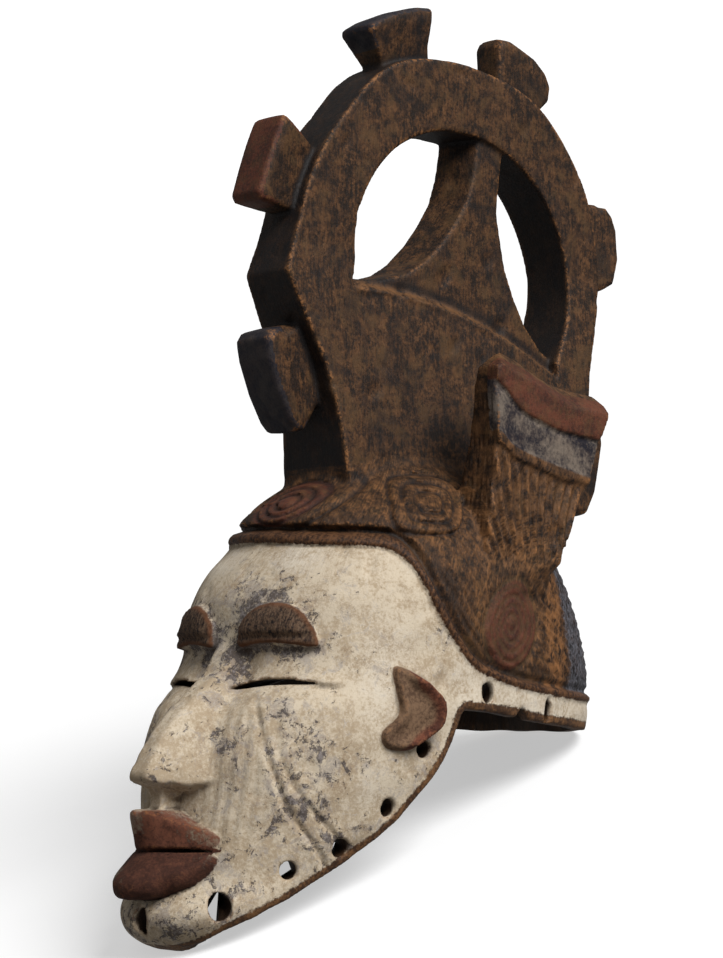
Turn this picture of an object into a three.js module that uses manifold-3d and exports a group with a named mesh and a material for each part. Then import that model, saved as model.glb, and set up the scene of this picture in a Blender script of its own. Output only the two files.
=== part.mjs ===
import * as THREE from "three";
import { mergeVertices } from "three/addons/utils/BufferGeometryUtils.js";
import Module from "manifold-3d";

const wasm = await Module();
wasm.setup();

// A carved helmet mask, upright as its carver held it while shaping: x is the wearer's left,
// y runs back, z is up, and the head's lower rim lies near z = 0. Lengths are millimetres.
// Outlines seen from the side are written as [forward, up]; forward is -y.
const restTilt = 22.5; // degrees the front is raised when the mask sits on chin and rear rim
const groundForward = 165; // the resting plane passes through this point under the chin
const groundUp = -109.3;
const wallThickness = 13;
const domeThickness = 12;
const headColumns = 40;
const liningColumns = 24;
const crestCenter = [0, 225];
const crestWindow = { forward: -13.5, up: 236, halfLength: 76, halfHeight: 73.2 };
const plateHalfTop = 16; // half thickness of the pierced wheel
const plateHalfBase = 26; // half thickness where the plate grows out of the head
const arris = 1.4;
const jointTolerance = 0.12; // slivers where carvings meet the skin are merged within this

// Plan sections of the head: [up, front, half width, rear, widest point, squareness].
const headSections = [
  [-122, 136, 16, -60, 112, 2.2],
  [-113, 160, 30, -70, 116, 2.2],
  [-108, 174, 35, -76, 114, 2.3],
  [-100, 184.5, 44, -80, 108, 2.3],
  [-90, 185.5, 52, -84, 100, 2.4],
  [-75, 173, 60, -86, 86, 2.4],
  [-60, 168, 67, -88, 76, 2.4],
  [-45, 166, 72, -88, 70, 2.4],
  [-30, 164, 76, -89, 66, 2.4],
  [-15, 161, 78, -88, 64, 2.45],
  [4, 151.5, 80, -88, 62, 2.5],
  [18, 138.5, 80, -87.5, 60, 2.5],
  [32, 133, 80, -86, 58, 2.45],
  [46, 132, 80, -84.3, 56, 2.35],
  [60, 129.5, 79.5, -79.5, 52, 2.26],
  [75, 120, 77.5, -72.5, 48, 2.2],
  [88, 108.5, 72.5, -62.5, 42, 2.15],
  [100, 102.5, 66, -51.5, 36, 2.2],
  [112, 89.5, 53.5, -38, 30, 2.2],
  [124, 72, 36, -20, 25, 2.2],
  [133, 50, 21, -2, 22, 2.2],
  [139, 22, 0.01, 21.9, 21.95, 2.2],
];

function sectionValue(up, column) {
  const last = headSections.length - 1;
  const height = Math.min(Math.max(up, headSections[0][0]), headSections[last][0]);
  let index = 0;
  while (index < last - 1 && height > headSections[index + 1][0]) index++;
  const slope = (i) => {
    const before = headSections[Math.max(i - 1, 0)];
    const after = headSections[Math.min(i + 1, last)];
    return (after[column] - before[column]) / (after[0] - before[0]);
  };
  const low = headSections[index];
  const high = headSections[index + 1];
  const span = high[0] - low[0];
  const t = (height - low[0]) / span;
  return (
    (2 * t ** 3 - 3 * t ** 2 + 1) * low[column] +
    (t ** 3 - 2 * t ** 2 + t) * span * slope(index) +
    (-2 * t ** 3 + 3 * t ** 2) * high[column] +
    (t ** 3 - t ** 2) * span * slope(index + 1)
  );
}

// Distance from the section's widest point to the skin, at an azimuth counted from the front.
function headRadius(azimuth, up) {
  const center = sectionValue(up, 4);
  const reach = Math.cos(azimuth) > 0 ? sectionValue(up, 1) - center : center - sectionValue(up, 3);
  const width = Math.max(sectionValue(up, 2), 0.01);
  const power = sectionValue(up, 5);
  const across = Math.abs(Math.sin(azimuth)) / width;
  const along = Math.abs(Math.cos(azimuth)) / Math.max(reach, 0.01);
  return (across ** power + along ** power) ** (-1 / power);
}

function headPoint(azimuth, up, lift = 0) {
  const radius = Math.max(headRadius(azimuth, up) + lift, 0.01);
  const center = sectionValue(up, 4);
  return new THREE.Vector3(radius * Math.sin(azimuth), -(center + radius * Math.cos(azimuth)), up);
}

function headNormal(azimuth, up) {
  const step = 0.03;
  const around = headPoint(azimuth + step, up).sub(headPoint(azimuth - step, up));
  const rise = headPoint(azimuth, up + 2).sub(headPoint(azimuth, up - 2));
  return around.cross(rise).normalize();
}

function toSolid(geometry) {
  geometry.deleteAttribute("normal");
  geometry.deleteAttribute("uv");
  const merged = mergeVertices(geometry, 1e-4);
  return new wasm.Manifold(
    new wasm.Mesh({
      numProp: 3,
      vertProperties: new Float32Array(merged.attributes.position.array),
      triVerts: new Uint32Array(merged.index.array),
    }),
  );
}

// Skins a list of equally long rings of points; the ends are closed with fans unless it loops.
function skin(rings, loops = false) {
  const count = rings[0].length;
  const points = rings.flat();
  const faces = [];
  const bands = loops ? rings.length : rings.length - 1;
  for (let i = 0; i < bands; i++) {
    const here = i * count;
    const next = ((i + 1) % rings.length) * count;
    for (let j = 0; j < count; j++) {
      const k = (j + 1) % count;
      faces.push(here + j, here + k, next + k, here + j, next + k, next + j);
    }
  }
  if (!loops) {
    for (const [ring, flip] of [[0, true], [rings.length - 1, false]]) {
      const middle = new THREE.Vector3();
      rings[ring].forEach((point) => middle.addScaledVector(point, 1 / count));
      points.push(middle);
      for (let j = 0; j < count; j++) {
        const a = ring * count + j;
        const b = ring * count + ((j + 1) % count);
        faces.push(points.length - 1, flip ? b : a, flip ? a : b);
      }
    }
  }
  const geometry = new THREE.BufferGeometry().setFromPoints(points);
  geometry.setIndex(faces);
  const body = toSolid(geometry);
  if (body.volume() > 0) return body;
  const flipped = [];
  for (let i = 0; i < faces.length; i += 3) flipped.push(faces[i], faces[i + 2], faces[i + 1]);
  const turned = new THREE.BufferGeometry().setFromPoints(points);
  turned.setIndex(flipped);
  return toSolid(turned);
}

const degrees = THREE.MathUtils.degToRad;

function headBody(heights, columns, place) {
  const rings = heights.map((up) => {
    const ring = [];
    for (let j = 0; j < columns; j++) ring.push(place((j / columns) * 2 * Math.PI, up));
    return ring;
  });
  return skin(rings);
}

// A side outline given as [forward, up] points, pushed out across the head to both sides.
function sideSlab(outline, holes, halfWidth, bevel = 0, bevelShare = 0.07, sway = 0) {
  const shape = new THREE.Shape(outline.map(([f, u]) => new THREE.Vector2(f, u)));
  for (const hole of holes) shape.holes.push(new THREE.Path(hole.map(([f, u]) => new THREE.Vector2(f, u))));
  const edge = bevel > 0 ? bevelShare : 0;
  const geometry = new THREE.ExtrudeGeometry(shape, {
    depth: 1,
    steps: 1,
    curveSegments: 1,
    bevelEnabled: bevel > 0,
    bevelThickness: edge,
    bevelSize: bevel,
    bevelOffset: -bevel,
    bevelSegments: 1,
  });
  const position = geometry.attributes.position;
  for (let i = 0; i < position.count; i++) {
    const f = position.getX(i);
    const u = position.getY(i);
    const share = (position.getZ(i) + edge) / (1 + 2 * edge);
    const [left, right] = halfWidth(f, u);
    const x = right + (left - right) * share;
    position.setXYZ(i, x, sway * x - f, u);
  }
  return fromSoup(geometry);
}

function fromSoup(geometry) {
  geometry.deleteAttribute("normal");
  geometry.deleteAttribute("uv");
  const merged = mergeVertices(geometry, 1e-4);
  const make = (indices) =>
    new wasm.Manifold(
      new wasm.Mesh({
        numProp: 3,
        vertProperties: new Float32Array(merged.attributes.position.array),
        triVerts: indices,
      }),
    );
  const indices = new Uint32Array(merged.index.array);
  const body = make(indices);
  if (body.volume() > 0) return body;
  for (let i = 0; i < indices.length; i += 3) [indices[i + 1], indices[i + 2]] = [indices[i + 2], indices[i + 1]];
  return make(indices);
}

// A low ridge that follows [azimuth in degrees, up] points over the skin of the head.
function ridge(path, width, height, loops = false) {
  const depth = 4;
  const count = path.length;
  const rings = path.map((entry, i) => {
    const [azimuth, up] = [degrees(entry[0]), entry[1]];
    const scale = entry[2] ?? 1;
    const ahead = path[loops ? (i + 1) % count : Math.min(i + 1, count - 1)];
    const behind = path[loops ? (i + count - 1) % count : Math.max(i - 1, 0)];
    const tangent = headPoint(degrees(ahead[0]), ahead[1]).sub(headPoint(degrees(behind[0]), behind[1]));
    const normal = headNormal(azimuth, up);
    const across = tangent.cross(normal).normalize();
    const base = headPoint(azimuth, up);
    const at = (sideways, out) => base.clone().addScaledVector(across, sideways).addScaledVector(normal, out);
    const half = (width / 2) * scale;
    const lift = height * scale;
    return [at(-half, -depth), at(half, -depth), at(half, 0), at(half * 0.45, lift), at(-half * 0.45, lift), at(-half, 0)];
  });
  return skin(rings, loops);
}

// A raised patch on the skin inside a closed outline of [azimuth in degrees, up] points.
function patch(outline, height, inset, center) {
  const depth = 5;
  const middle = center ?? outline.reduce((sum, [a, u]) => [sum[0] + a / outline.length, sum[1] + u / outline.length], [0, 0]);
  const level = (shrink, lift) =>
    outline.map(([a, u]) => {
      const azimuth = degrees(middle[0] + (a - middle[0]) * shrink);
      const up = middle[1] + (u - middle[1]) * shrink;
      return headPoint(azimuth, up).addScaledVector(headNormal(azimuth, up), lift);
    });
  return skin([level(1, -depth), level(1, height * 0.55), level(inset, height)]);
}

const mirrorPath = (path) => path.map(([azimuth, ...rest]) => [-azimuth, ...rest]);
const bothSides = (make, path) => [make(path), make(mirrorPath(path))];

const added = [];

// Outer skin of face and helmet.
const skinHeights = [
  -122, -113, -108, -103, -97, -89, -79, -68, -56, -44, -31, -18, -6, 4, 15, 28, 40, 53, 66, 77, 87, 95, 104, 114,
  124, 133, 139,
];
const head = headBody(skinHeights, headColumns, (azimuth, up) => headPoint(azimuth, up));

// Hollow inside, open below.
const liningHeights = [-130, -108, -84, -58, -32, -6, 20, 44, 64, 80, 92, 101, 108, 114, 118];
const liningRadius = (azimuth, up) =>
  Math.max(Math.min(headRadius(azimuth, up), headRadius(azimuth, up + domeThickness)) - wallThickness, 0.5);
const lining = headBody(liningHeights, liningColumns, (azimuth, up) => {
  const radius = liningRadius(azimuth, up);
  const center = sectionValue(up, 4);
  return new THREE.Vector3(radius * Math.sin(azimuth), -(center + radius * Math.cos(azimuth)), up);
});

// Crest plate: a wheel pierced by two windows, its spoke rising from a solid panel.
function arc({ forward, up, halfLength, halfHeight }, from, to, steps) {
  const points = [];
  for (let i = 0; i <= steps; i++) {
    const angle = degrees(from + ((to - from) * i) / steps);
    // The window is a little fuller above in front and flatter behind.
    const full = 1 + 0.038 * Math.sin(2 * angle) * (angle < Math.PI / 2 ? 1 : 0.35);
    points.push([forward + halfLength * Math.cos(angle) * full, up + halfHeight * Math.sin(angle) * full]);
  }
  return points;
}
const plateFoot = [
  [73.5, 106],
  [78.5, 146],
  [86.5, 178],
  [98.5, 203],
];
// The wheel starts at its sharp front corner, where it leaves the tapering foot.
const wheelCurve = new THREE.SplineCurve(
  [
    [108.4, 225],
    [99.4, 253],
    [94.2, 270],
    [81.7, 294],
    [68, 311.5],
    [49.8, 330.8],
    [31, 342],
    [7, 346.5],
    [-18, 346],
    [-42, 341.5],
    [-68.3, 331.5],
    [-91.2, 309.8],
    [-107.6, 280.5],
    [-114, 240],
    [-108.5, 208],
  ].map(([f, u]) => new THREE.Vector2(f, u)),
);
const plateBack = [
  [-103, 188],
  [-99, 165],
  [-86, 135],
  [-52, 78],
];
const wheelOutline = [...plateFoot, ...wheelCurve.getPoints(26).map(({ x, y }) => [x, y]), ...plateBack];
const ledge = [
  [-76, 189.5],
  [-40, 206.5],
  [-6, 217.5],
  [30, 223.5],
  [64, 225.5],
];
const ledgeFlat = 11; // the ledge is level this far to each side, then falls by ledgeDrop
const ledgeDrop = 4.5;
const spokeHalf = 13.5; // the spoke stands back from both faces of the wheel
const spokeSway = 0.2; // its front face turns slightly towards the wearer's left
const spokeOutline = [
  [-23, 318],
  [-22.6, 305],
  [-20, 289],
  [-15.6, 275],
  [-7.3, 262.6],
  [2.6, 250.4],
  [14, 239.8],
  [27, 232.2],
  [46, 226],
  [70, 224],
  [70, 198],
  [-82, 172],
  [-82, 191],
  [-69, 198],
  [-57, 211],
  [-49.4, 225],
  [-43.6, 240.5],
  [-41.2, 254],
  [-38, 270],
  [-39, 281],
  [-41.1, 300],
  [-52, 316],
];
const opening = [...arc(crestWindow, 0, 205, 20), ...ledge];
const plateHalf = (up) => {
  const share = Math.min(Math.max((240 - up) / 115, 0), 1.1);
  return plateHalfTop + (plateHalfBase - plateHalfTop) * share;
};
let wheel = sideSlab(wheelOutline, [opening], (f, u) => [plateHalf(u), -plateHalf(u)], arris);
for (const side of [1, -1]) {
  const bevelRings = [[-90, 182], ...ledge, [66.5, 225.6]].map(([f, u]) =>
    [[ledgeFlat, u], [25, u - (ledgeDrop * (25 - ledgeFlat)) / 6.5], [25, u + 12], [ledgeFlat, u + 12]].map(
      ([x, up]) => new THREE.Vector3(x * side, -f, up),
    ),
  );
  const insideWindow = sideSlab([[67, 180], [67, 240], [-90, 240], [-90, 170]], [], () => [40, -40]);
  wheel = wheel.subtract(skin(bevelRings.slice(1)).intersect(insideWindow));
}
const spoke = sideSlab(spokeOutline, [], () => [spokeHalf, -spokeHalf], arris, 0.07, spokeSway);
added.push(wheel, spoke);

// Six knobs round the wheel, drawn in side view as [forward, up]; each is narrower where it meets the rim.
const knobs = [
  {
    across: 25,
    root: 0.72,
    outline: [[80, 288], [93, 297], [105.3, 305.4], [108.3, 303.4], [113.2, 292], [119, 277], [123.7, 263.5], [121.5, 259.3], [98, 256], [86, 258]],
  },
  {
    across: 25,
    root: 0.66,
    outline: [[36, 326], [39, 341], [49.8, 356.6], [49.2, 359.6], [41, 364.2], [28.7, 369.8], [15.3, 374], [5.8, 375], [4.6, 372], [5.6, 354], [3.8, 345], [1, 326]],
  },
  {
    across: 20,
    root: 0.9,
    outline: [[-40, 328], [-44.5, 344], [-44.5, 363], [-47, 367.2], [-54.5, 367.2], [-63.6, 363.7], [-73, 360], [-81.5, 353], [-85.3, 345.5], [-84, 337], [-77, 331], [-66, 316]],
  },
  {
    across: 25,
    root: 0.8,
    outline: [[-98, 284], [-110, 284.5], [-125, 284.3], [-130.3, 279], [-133.4, 271], [-134.3, 254.4], [-131, 240.5], [-122, 235.3], [-104, 234.5]],
  },
  {
    across: 26,
    root: 0.75,
    outline: [[-92, 178], [-110, 172], [-119.5, 160], [-120.5, 151], [-114.5, 124], [-108.5, 112], [-105, 110.5], [-95, 112], [-84, 134]],
  },
  {
    across: 28,
    root: 0.78,
    outline: [[86, 201.5], [105.5, 197.6], [115.5, 194.6], [118.5, 190], [116.8, 180], [110.6, 163], [103.2, 149.4], [98.5, 144.6], [92.5, 145], [84, 157], [74, 160]],
  },
];
const knobRise = 20;
const wheelMiddle = wheelOutline.map(([f, u]) => [f, u]);
const wheelGap = (f, u) =>
  Math.min(...wheelMiddle.map(([a, b], i) => {
    const [c, d] = wheelMiddle[(i + 1) % wheelMiddle.length];
    const t = Math.min(Math.max(((f - a) * (c - a) + (u - b) * (d - b)) / ((c - a) ** 2 + (d - b) ** 2), 0), 1);
    return Math.hypot(f - a - t * (c - a), u - b - t * (d - b));
  }));
const insideWheel = (f, u) => Math.hypot(f - crestCenter[0], u - crestCenter[1]) < 100;
for (const { across, root, outline } of knobs) {
  const half = (f, u) => {
    const reach = insideWheel(f, u) ? 0 : Math.min(wheelGap(f, u) / knobRise, 1);
    return (across / 2) * (root + (1 - root) * reach);
  };
  added.push(sideSlab(outline, [], (f, u) => [half(f, u), -half(f, u)], 2.2, 0.16));
}

// Side horns: thick at the root, thin at the flared top, with a raised painted band.
const hornOuter = 77;
const hornThickness = (up) => {
  const stops = [[68, 34], [90, 30], [140, 21], [178, 13]];
  let index = 0;
  while (index < stops.length - 2 && up > stops[index + 1][0]) index++;
  const t = Math.min(Math.max((up - stops[index][0]) / (stops[index + 1][0] - stops[index][0]), 0), 1);
  return stops[index][1] + t * (stops[index + 1][1] - stops[index][1]);
};
const hornOutline = [
  [32, 66],
  [28, 84],
  [27.6, 97],
  [23.9, 120],
  [21.4, 139],
  [22, 152],
  [23.7, 169],
  [23.5, 178],
  [15.5, 183.5],
  [7, 189],
  [-2, 184],
  [-16.5, 176],
  [-40, 170],
  [-56, 168.5],
  [-59, 163],
  [-57, 158],
  [-50.2, 144],
  [-43.2, 122],
  [-37.6, 110],
  [-28.1, 92.5],
  [-21.5, 75],
  [-20, 64],
];
// The horn's top slopes down outwards; this is its outer edge.
const hornTop = [
  [29, 177],
  [19.3, 180],
  [12.4, 176.6],
  [-0.9, 173],
  [-17.3, 165.5],
  [-30.2, 161],
  [-46.3, 160],
  [-62, 158],
];
const bandSplit = [
  [25, 172],
  [15.8, 165.1],
  [11.5, 160.4],
  [3.7, 155],
  [-7.3, 151.2],
  [-31.1, 146.5],
  [-47.9, 144.3],
];
const bandFoot = [
  [22, 142],
  [11.6, 137],
  [0, 132.5],
  [-12.5, 129],
  [-26.3, 126],
  [-41, 122],
];
const upperBand = [...bandSplit, [-56.5, 146], [-60, 158], [-58, 170], [26, 190]];
const lowerBand = [...bandFoot, [-49, 143], ...bandSplit.toReversed(), [23, 160]];
const upperBandLift = 2.6;
const lowerBandLift = 1.2;
const topSlope = 0.85;
for (const side of [1, -1]) {
  const inner = (u) => hornOuter - hornThickness(u);
  const place = (a, b) => (side > 0 ? [a, b] : [-b, -a]);
  let horn = sideSlab(hornOutline, [], (f, u) => place(hornOuter, inner(Math.min(u, 178))), arris);
  for (const [outline, lift] of [[upperBand, upperBandLift], [lowerBand, lowerBandLift]]) {
    const band = sideSlab(outline, [], (f, u) => place(hornOuter + lift, hornOuter - 6), 0.8);
    const within = sideSlab(hornOutline, [], () => place(hornOuter + 6, hornOuter - 8));
    horn = horn.add(band.intersect(within));
  }
  const above = skin(
    hornTop.map(([f, u]) =>
      [[90, u - 11 * topSlope], [90, u + 40], [55, u + 40], [55, u + 24 * topSlope]].map(([x, up]) => new THREE.Vector3(x * side, -f, up)),
    ),
  );
  added.push(horn.subtract(above));
}

// Hairline roll across the forehead and down in front of the ears to the white band.
const rollLeft = [
  [0, 91.5],
  [12, 90.4],
  [24, 89],
  [36, 88],
  [48, 87],
  [57, 86],
  [62, 84.5],
  [66, 78],
  [70, 70.5],
  [75, 62.5],
  [80, 54.5],
  [88.5, 40],
  [96, 27.5],
  [104, 20],
  [108, 18.5],
];
// The wearer's right runs a little higher over the brow, as carved by eye.
const rollRise = (azimuth) => 4.4 * Math.max(0, 1 - Math.abs(azimuth - 36) / 34);
const rollRight = rollLeft.slice(1).map(([azimuth, up]) => [-azimuth, up + rollRise(azimuth)]);
added.push(ridge([...rollRight.toReversed(), ...rollLeft], 7.6, 2.8));

// Low carved ovals on the helmet, each an outer ring and a boss.
function oval(azimuth, up, halfAzimuth, halfUp, steps = 12) {
  const points = [];
  for (let i = 0; i < steps; i++) {
    const angle = (i / steps) * 2 * Math.PI;
    points.push([azimuth + halfAzimuth * Math.cos(angle), up + halfUp * Math.sin(angle)]);
  }
  return points;
}
const ovals = [
  [0, 108, 26, 9],
  [70, 107, 15, 13],
  [-70, 107, 15, 13],
  [118, 50, 14, 23],
  [-118, 50, 14, 23],
];
for (const [azimuth, up, halfAzimuth, halfUp] of ovals) {
  added.push(ridge(oval(azimuth, up, halfAzimuth, halfUp), 6, 2, true));
  added.push(patch(oval(azimuth, up, halfAzimuth * 0.45, halfUp * 0.45, 8), 2, 0.75));
}

// Half-moon brows, bean-shaped ears and two long scars on each cheek.
const brow = [
  [6, 37],
  [6, 47],
  [12, 54],
  [20, 58],
  [29, 57],
  [36, 50],
  [40, 42],
  [40, 35.5],
  [24, 37.5],
];
const ear = [
  [69, 24],
  [75, 24],
  [82, 21],
  [89, 13],
  [91.5, 4],
  [89, -5],
  [82, -10],
  [77, -15],
  [71, -17],
  [67.5, -11],
  [70, -3],
  [74, 4],
  [72, 12],
];
const scarFront = [
  [18, 10, 0.5],
  [25, 0],
  [31, -17],
  [36, -36],
  [45, -54],
  [56, -68, 0.6],
];
const scarRear = [
  [30, 5, 0.5],
  [34, -11],
  [38, -27],
  [46, -44],
  [60, -61, 0.6],
];
added.push(...bothSides((path) => patch(path, 4, 0.78), brow));
added.push(...bothSides((path) => patch(path, 9, 0.72, [Math.sign(path[0][0]) * 82, 5]), ear));
added.push(...bothSides((path) => ridge(path, 6, 2.2), scarFront));
added.push(...bothSides((path) => ridge(path, 6, 2.2), scarRear));

// Nose: [up, ridge forward, half ridge, half base, base forward].
const noseStations = [
  [34, 136, 8, 13, 126],
  [24, 142.5, 7, 14, 128],
  [12, 157.3, 7, 17, 134],
  [3, 167.3, 7, 20, 140],
  [-7, 176.2, 7.5, 23, 146],
  [-16, 182, 8, 25, 150],
  [-26, 187.5, 8.5, 27, 152],
  [-31, 184, 9, 27, 152],
  [-37, 166, 8, 20, 150],
];
added.push(
  skin(
    noseStations.map(([u, f, narrow, wide, root]) =>
      [[-wide, root], [-narrow, f - 1.5], [-narrow * 0.4, f], [narrow * 0.4, f], [narrow, f - 1.5], [wide, root], [wide * 0.6, root - 8], [-wide * 0.6, root - 8]].map(
        ([x, forward]) => new THREE.Vector3(x, -forward, u),
      ),
    ),
  ),
);

// Lips: each station across the mouth is [side, front at top, front at bottom, top, bottom].
const lipRoot = 148;
function lip(stations) {
  return skin(
    stations.map(([x, frontTop, frontBottom, top, bottom]) => {
      const height = top - bottom;
      return [
        [lipRoot, top],
        [frontTop - 4, top],
        [frontTop, top - height * 0.2],
        [frontBottom, bottom + height * 0.25],
        [frontBottom - 4, bottom],
        [lipRoot, bottom],
      ].map(([forward, up]) => new THREE.Vector3(x, -forward, up));
    }),
  );
}
const halfUpperLip = [
  [34, 158, 158, -57, -60.5],
  [26, 169, 168, -50, -61.5],
  [16, 179, 177.5, -46, -61.5],
  [7, 186.5, 185, -42.5, -61.5],
];
const halfLowerLip = [
  [32, 158, 160, -61.2, -67],
  [24, 173, 177, -61.2, -77],
  [13, 186, 192, -61.2, -83],
];
const across = (half, middle) => [...half, middle, ...half.toReversed().map(([x, ...rest]) => [-x, ...rest])];
const upperLip = across(halfUpperLip, [0, 190, 187, -44, -61.5]);
const lowerLip = across(halfLowerLip, [0, 194, 199.5, -61.2, -85]);
added.push(lip(upperLip), lip(lowerLip));

// Everything cut away: the hollow, the trimmed rim, two resting flats, eye slits and lashing holes.
const rimOutline = [
  [230, -108],
  [172, -111.5],
  [164, -111],
  [160, -106.5],
  [152.5, -94.5],
  [143.8, -89.2],
  [135.1, -84.7],
  [120.8, -75.5],
  [106.8, -66.3],
  [93.8, -57],
  [83.3, -47.6],
  [74.9, -38],
  [65.8, -28.5],
  [58.4, -18.9],
  [53.4, -9.2],
  [49, 3],
  [46, 5.8],
  [22, 3.5],
  [-15, -1.2],
  [-60, -5],
  [-130, -8.2],
  [-130, -200],
  [230, -200],
];
// Beside the chin the rim climbs faster than under it.
const cheekRim = [
  [178, -113],
  [172, -110],
  [168.5, -106.5],
  [164.7, -103.3],
  [160.6, -99.4],
  [152.5, -93.8],
  [150, -125],
  [178, -125],
];
const chinFoot = (u) => 8 + Math.min(Math.max(u + 111, 0), 10) * 1.7;
const trim = sideSlab(rimOutline, [], () => [140, -140]);
const groundSlope = Math.tan(degrees(restTilt));
const groundAt = (f) => groundUp + (groundForward - f) * groundSlope;
const ground = sideSlab([[260, groundAt(260)], [-160, groundAt(-160)], [-160, -260], [260, -260]], [], () => [140, -140]);

function drill(forward, up, sizeForward, sizeUp, from, to, turn = 0) {
  const geometry = new THREE.CylinderGeometry(0.5, 0.5, to - from, 10);
  geometry.rotateZ(Math.PI / 2);
  geometry.scale(1, sizeForward, sizeUp);
  geometry.translate((from + to) / 2, 0, 0);
  geometry.rotateZ(degrees(turn));
  geometry.translate(0, -forward, up);
  return fromSoup(geometry);
}
const eyeSlit = [
  [15.5, 15.4],
  [24, 16.6],
  [33, 17.6],
  [45, 18.9],
  [55, 18.4],
  [55, 17.6],
  [45, 17],
  [33, 15.8],
  [24, 14.9],
];
function slit(side) {
  const shape = new THREE.Shape(eyeSlit.map(([x, u]) => new THREE.Vector2(x * side, u)));
  const geometry = new THREE.ExtrudeGeometry(shape, { depth: 70, steps: 1, bevelEnabled: false });
  geometry.rotateX(Math.PI / 2);
  geometry.translate(0, -95, 0);
  return fromSoup(geometry);
}
const holes = [
  [113, -60.4, 9, 9],
  [90.3, -41.5, 8, 9],
  [72, -13.4, 9, 9],
  [31, 13.8, 8, 10],
  [-16.4, 5, 5, 12],
];
const cheekTrims = [
  sideSlab(cheekRim, [], (f, u) => [90, chinFoot(u)]),
  sideSlab(cheekRim, [], (f, u) => [-chinFoot(u), -90]),
];
const cuts = [lining, trim, ...cheekTrims, ground, slit(1), slit(-1)];
for (const [f, u, sizeForward, sizeUp] of holes) cuts.push(drill(f, u, sizeForward, sizeUp, 25, 120), drill(f, u, sizeForward, sizeUp, -120, -25));
// Two holes on each side of the jaw run square to the curving wall: [side, forward, up, width, height, turn].
const jawHoles = [
  [35.5, 165, -87.5, 11, 13.5, 55],
  [53, 137, -70.6, 8.5, 9, 66],
];
for (const [x, f, u, width, height, turn] of jawHoles) {
  for (const side of [1, -1]) {
    const hole = new THREE.CylinderGeometry(0.5, 0.5, 60, 10);
    hole.scale(width, 1, height);
    hole.rotateZ(degrees(turn * side));
    hole.translate(x * side, -f, u);
    cuts.push(fromSoup(hole));
  }
}
const chinHole = new THREE.CylinderGeometry(0.5, 0.5, 60, 10);
chinHole.scale(6, 1, 10);
chinHole.translate(0, -178, -96.3);
cuts.push(fromSoup(chinHole));

let mask = head;
for (const body of added) mask = mask.add(body);
mask = mask.simplify(jointTolerance);
for (const body of cuts) mask = mask.subtract(body);

// Keep the single block: slivers left loose by the cuts are dropped.
const pieces = mask.decompose().sort((a, b) => b.volume() - a.volume());
mask = pieces[0];

function toMesh(body, material) {
  const data = body.getMesh();
  const geometry = new THREE.BufferGeometry();
  geometry.setAttribute("position", new THREE.BufferAttribute(new Float32Array(data.vertProperties), 3));
  geometry.setIndex(new THREE.BufferAttribute(new Uint32Array(data.triVerts), 1));
  geometry.rotateX(-degrees(restTilt));
  geometry.computeBoundingBox();
  const box = geometry.boundingBox;
  geometry.translate(-(box.min.x + box.max.x) / 2, -(box.min.y + box.max.y) / 2, -box.min.z);
  geometry.computeVertexNormals();
  return new THREE.Mesh(geometry, material);
}

const wood = new THREE.MeshStandardMaterial({ name: "carved_wood", color: 0x6b4f38, roughness: 0.85, metalness: 0 });
const carving = toMesh(mask, wood);
carving.name = "mask";
const group = new THREE.Group();
group.name = "igbo_mask";
group.add(carving);

export default group;
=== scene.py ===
import math
import bpy
import numpy as np
from mathutils import Matrix


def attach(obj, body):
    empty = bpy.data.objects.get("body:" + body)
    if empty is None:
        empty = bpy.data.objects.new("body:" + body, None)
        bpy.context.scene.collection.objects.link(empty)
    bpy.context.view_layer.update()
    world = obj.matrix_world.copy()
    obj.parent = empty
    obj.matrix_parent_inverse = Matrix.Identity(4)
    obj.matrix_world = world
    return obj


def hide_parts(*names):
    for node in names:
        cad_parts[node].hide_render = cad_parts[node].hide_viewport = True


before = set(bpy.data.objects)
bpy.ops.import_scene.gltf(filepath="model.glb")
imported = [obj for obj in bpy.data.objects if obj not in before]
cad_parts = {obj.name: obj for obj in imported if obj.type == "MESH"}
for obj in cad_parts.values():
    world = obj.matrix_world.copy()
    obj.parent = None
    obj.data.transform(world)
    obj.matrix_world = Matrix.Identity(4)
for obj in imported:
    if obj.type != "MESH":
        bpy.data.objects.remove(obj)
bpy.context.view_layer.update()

# Shapes are worked out in millimetres in the carver's upright frame: side (the mask's left), forward, up.
# The finished mesh is then tipped onto its resting flats, into the row frame.
rest = {"tilt": 22.5, "shift": (0.0, -6.2925, 37.8373), "groundForward": 165.0, "groundUp": -109.3}
grid = {"step": 1.3, "side": (-95, 95), "forward": (-150, 208), "up": (-118, 388)}
budget = {"skin": 178000, "hollow": 16000}


def ease(value, low, high):
    t = np.clip((value - low) / (high - low), 0, 1)
    return t * t * (3 - 2 * t)


def fade(value, low, high):
    return 1 - ease(value, low, high)


def softMin(a, b, k):
    h = np.clip(0.5 + 0.5 * (b - a) / k, 0, 1)
    return b + (a - b) * h - k * h * (1 - h)


def softMax(a, b, k):
    return -softMin(-a, -b, k)


def bell(value, width):
    return np.exp(-(value / width) ** 2)


def hill(x, width, y, height):
    return np.exp(-(x / width) ** 2 - (y / height) ** 2)


def single(values):
    return np.asarray(values, np.float32)


def curve(points, steps=8, loop=False):
    # smooth line through the points
    p = np.array(points, float)
    n = len(p)
    out = []
    for i in range(n if loop else n - 1):
        if loop:
            a, b, c, d = p[(i - 1) % n], p[i], p[(i + 1) % n], p[(i + 2) % n]
        else:
            a, b, c, d = p[max(i - 1, 0)], p[i], p[i + 1], p[min(i + 2, n - 1)]
        for t in np.linspace(0, 1, steps, endpoint=False):
            out.append(0.5 * (2 * b + (c - a) * t + (2 * a - 5 * b + 4 * c - d) * t ** 2
                + (3 * b - a - 3 * c + d) * t ** 3))
    if not loop:
        out.append(p[-1])
    return np.array(out)


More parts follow.
